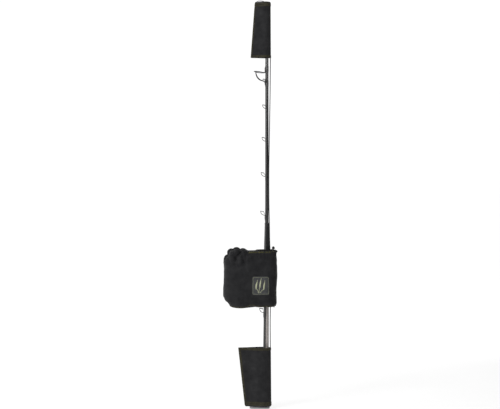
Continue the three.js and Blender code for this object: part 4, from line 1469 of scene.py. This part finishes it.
def make_cord_lock():
    """A moulded barrel with grip rings, and the spring button that stands in its end."""
    low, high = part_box("cord_lock")
    r, centre = box_radius("cord_lock"), ((low.x + high.x) / 2, 0, (low.z + high.z) / 2)
    profile = [(0.01 * MM, low.y), (r - 0.8 * MM, low.y), (r, low.y + 0.8 * MM)]
    for ring in range(4):
        y = low.y + (3 + 2.4 * ring) * MM
        profile += [(r, y), (r - 0.4 * MM, y + 0.4 * MM), (r - 0.4 * MM, y + 0.9 * MM), (r, y + 1.3 * MM)]
    profile += [(r, high.y - 0.6 * MM), (r - 0.5 * MM, high.y), (3.9 * MM, high.y),
                (3.9 * MM, high.y - 9 * MM),
                (0.01 * MM, high.y - 9 * MM)]
    Shape().turned(profile, centre, (0, 1, 0), 40).piece("cord_lock_barrel", PLASTIC, "root", "plastic",
                                                         ["cord_lock"], 30)

    low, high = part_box("lock_button")
    r = box_radius("lock_button")
    profile = [(0.01 * MM, low.y), (r, low.y), (r, high.y - 0.9 * MM), (r - 0.3 * MM, high.y - 0.3 * MM),
               (r - 0.9 * MM, high.y), (r * 0.55, high.y), (r * 0.5, high.y - 0.4 * MM),
               (r * 0.3, high.y - 0.4 * MM),
               (r * 0.25, high.y), (0.01 * MM, high.y)]
    Shape().turned(profile, centre, (0, 1, 0), 36).piece("lock_button_cap", PLASTIC, "button", "plastic",
                                                         ["lock_button"], 30)


make_elastic()
make_draw_cord()
make_cord_lock()


# ---- reel -----------------------------------------------------------------------------------------

def dress(node, material, bevel=0.4 * MM, segments=2):
    """Keeps a CAD node's shape and gives it eased edges and a material."""
    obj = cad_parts[node]
    obj.data.materials.clear()
    obj.data.materials.append(material)
    obj.data.shade_smooth()
    obj.data.set_sharp_from_angle(angle=math.radians(32))
    eased = obj.modifiers.new("eased_edges", "BEVEL")
    eased.width = bevel
    eased.segments = segments
    eased.limit_method = "ANGLE"
    eased.angle_limit = math.radians(32)
    eased.harden_normals = False


def make_spool():
    """Spool with its lip and skirt, the line wound on it in level turns, and the drag knob."""
    low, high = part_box("spool")
    centre = ((low.x + high.x) / 2, (low.y + high.y) / 2, 0)
    base = low.z
    skirt, lip, core, bore = 29, 26, 18, 3
    knots = [(bore, 24), (27, 24), (27, 0.3), (27.4, 0), (28.6, 0), (skirt, 0.4), (skirt, 26), (28.4, 27.2),
             (26, 27.8), (core, 30), (core, 42), (lip - 0.6, 44), (lip, 44.6), (lip, 46.2), (lip - 0.8, 47),
             (16, 47), (15, 46), (13.4, 46), (13, 47), (bore, 47), (bore, 24)]
    profile = [(r * MM, base + h * MM) for r, h in knots]
    Shape().turned(profile, centre, UP, 72).piece("spool_turned", ALLOY, "spool", "alloy", ["spool"], 30)

    low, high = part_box("line")
    turns = 24
    profile = [(18.3 * MM, low.z)]
    for i in range(turns):
        part = (i + 0.5) / turns
        middle = low.z + part * (high.z - low.z)
        half = (high.z - low.z) / turns / 2
        outer = 23.9 * MM + 0.4 * MM * math.sin(math.pi * part)
        profile += [(outer - 0.25 * MM, middle - half), (outer, middle)]
    profile += [(18.3 * MM, high.z), (18.3 * MM, low.z)]
    Shape().turned(profile, centre, UP, 72).piece("line_winding", LINE, "spool", "line", ["line"], 60)

    low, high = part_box("drag_knob")
    r = box_radius("drag_knob")
    outside = [(r - 0.4 * MM, low.z), (r, low.z + 0.4 * MM)]
    outside += [(r, low.z + (0.4 + 0.6 * i) * MM) for i in range(1, 8)]
    outside += [(r - 1 * MM, high.z - 2.6 * MM), (r - 2.4 * MM, high.z - 0.6 * MM), (r - 4 * MM, high.z),
                (0.01 * MM, high.z), (0.01 * MM, low.z)]
    knurled(Shape(), [*outside, outside[0]], centre, 30, 0.6 * MM).piece("drag_knob_knurled", ALLOY, "drag",
                                                                         "alloy",
                                                                       ["drag_knob"], 30)


def make_turned_parts():
    """Shaft, bearings and crank knob."""
    low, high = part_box("main_shaft")
    spot = ((low.x + high.x) / 2, (low.y + high.y) / 2, 0)
    Shape().turned(rounded(box_radius("main_shaft"), low.z, high.z, 0.5 * MM), spot, UP, 32).piece(
        "main_shaft_ground", STEEL, "shaft", "steel", ["main_shaft"])

    low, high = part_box("pinion_bearing")
    race = rounded(box_radius("pinion_bearing"), low.z, high.z, 0.4 * MM, 4.9 * MM)
    Shape().turned(race, spot, UP, 48).piece(
        "pinion_bearing_race", STEEL, "root", "steel", ["pinion_bearing"])

    low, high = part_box("drive_bearing")
    spot = ((low.x + high.x) / 2, 0, (low.z + high.z) / 2)
    Shape().turned(rounded(box_radius("drive_bearing"), low.y, high.y, 0.4 * MM, 3.3 * MM), spot, (0, 1, 0),
                   48).piece(
        "drive_bearing_race", STEEL, "root", "steel", ["drive_bearing"])

    low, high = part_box("crank_knob")
    spot = ((low.x + high.x) / 2, 0, (low.z + high.z) / 2)
    outside = flowing([(4.4 * MM, low.y), (5.2 * MM, low.y + 1 * MM), (7.4 * MM, low.y + 6 * MM),
                       (8 * MM, high.y - 8 * MM), (7.6 * MM, high.y - 2.6 * MM), (5.6 * MM, high.y)], 8)
    bore = 2.3 * MM
    Shape().turned([*outside, (bore, high.y), (bore, low.y), outside[0]], spot, (0, 1, 0), 48).piece(
        "crank_knob_foam", FOAM, "knob", "foam", ["crank_knob"])


make_spool()
make_turned_parts()
for part in ("reel_body", "side_cover", "rotor", "bail_arm", "crank_arm", "fixed_hood", "sliding_hood"):
    dress(part, ALLOY)
for part in ("drive_gear", "pinion", "stroke_slider"):
    dress(part, BRASS, 0.15 * MM)
for part in ("bail_wire", "line_roller"):
    dress(part, STEEL, 0.15 * MM)
dress("anti_reverse_lever", PLASTIC, 0.6 * MM, 3)
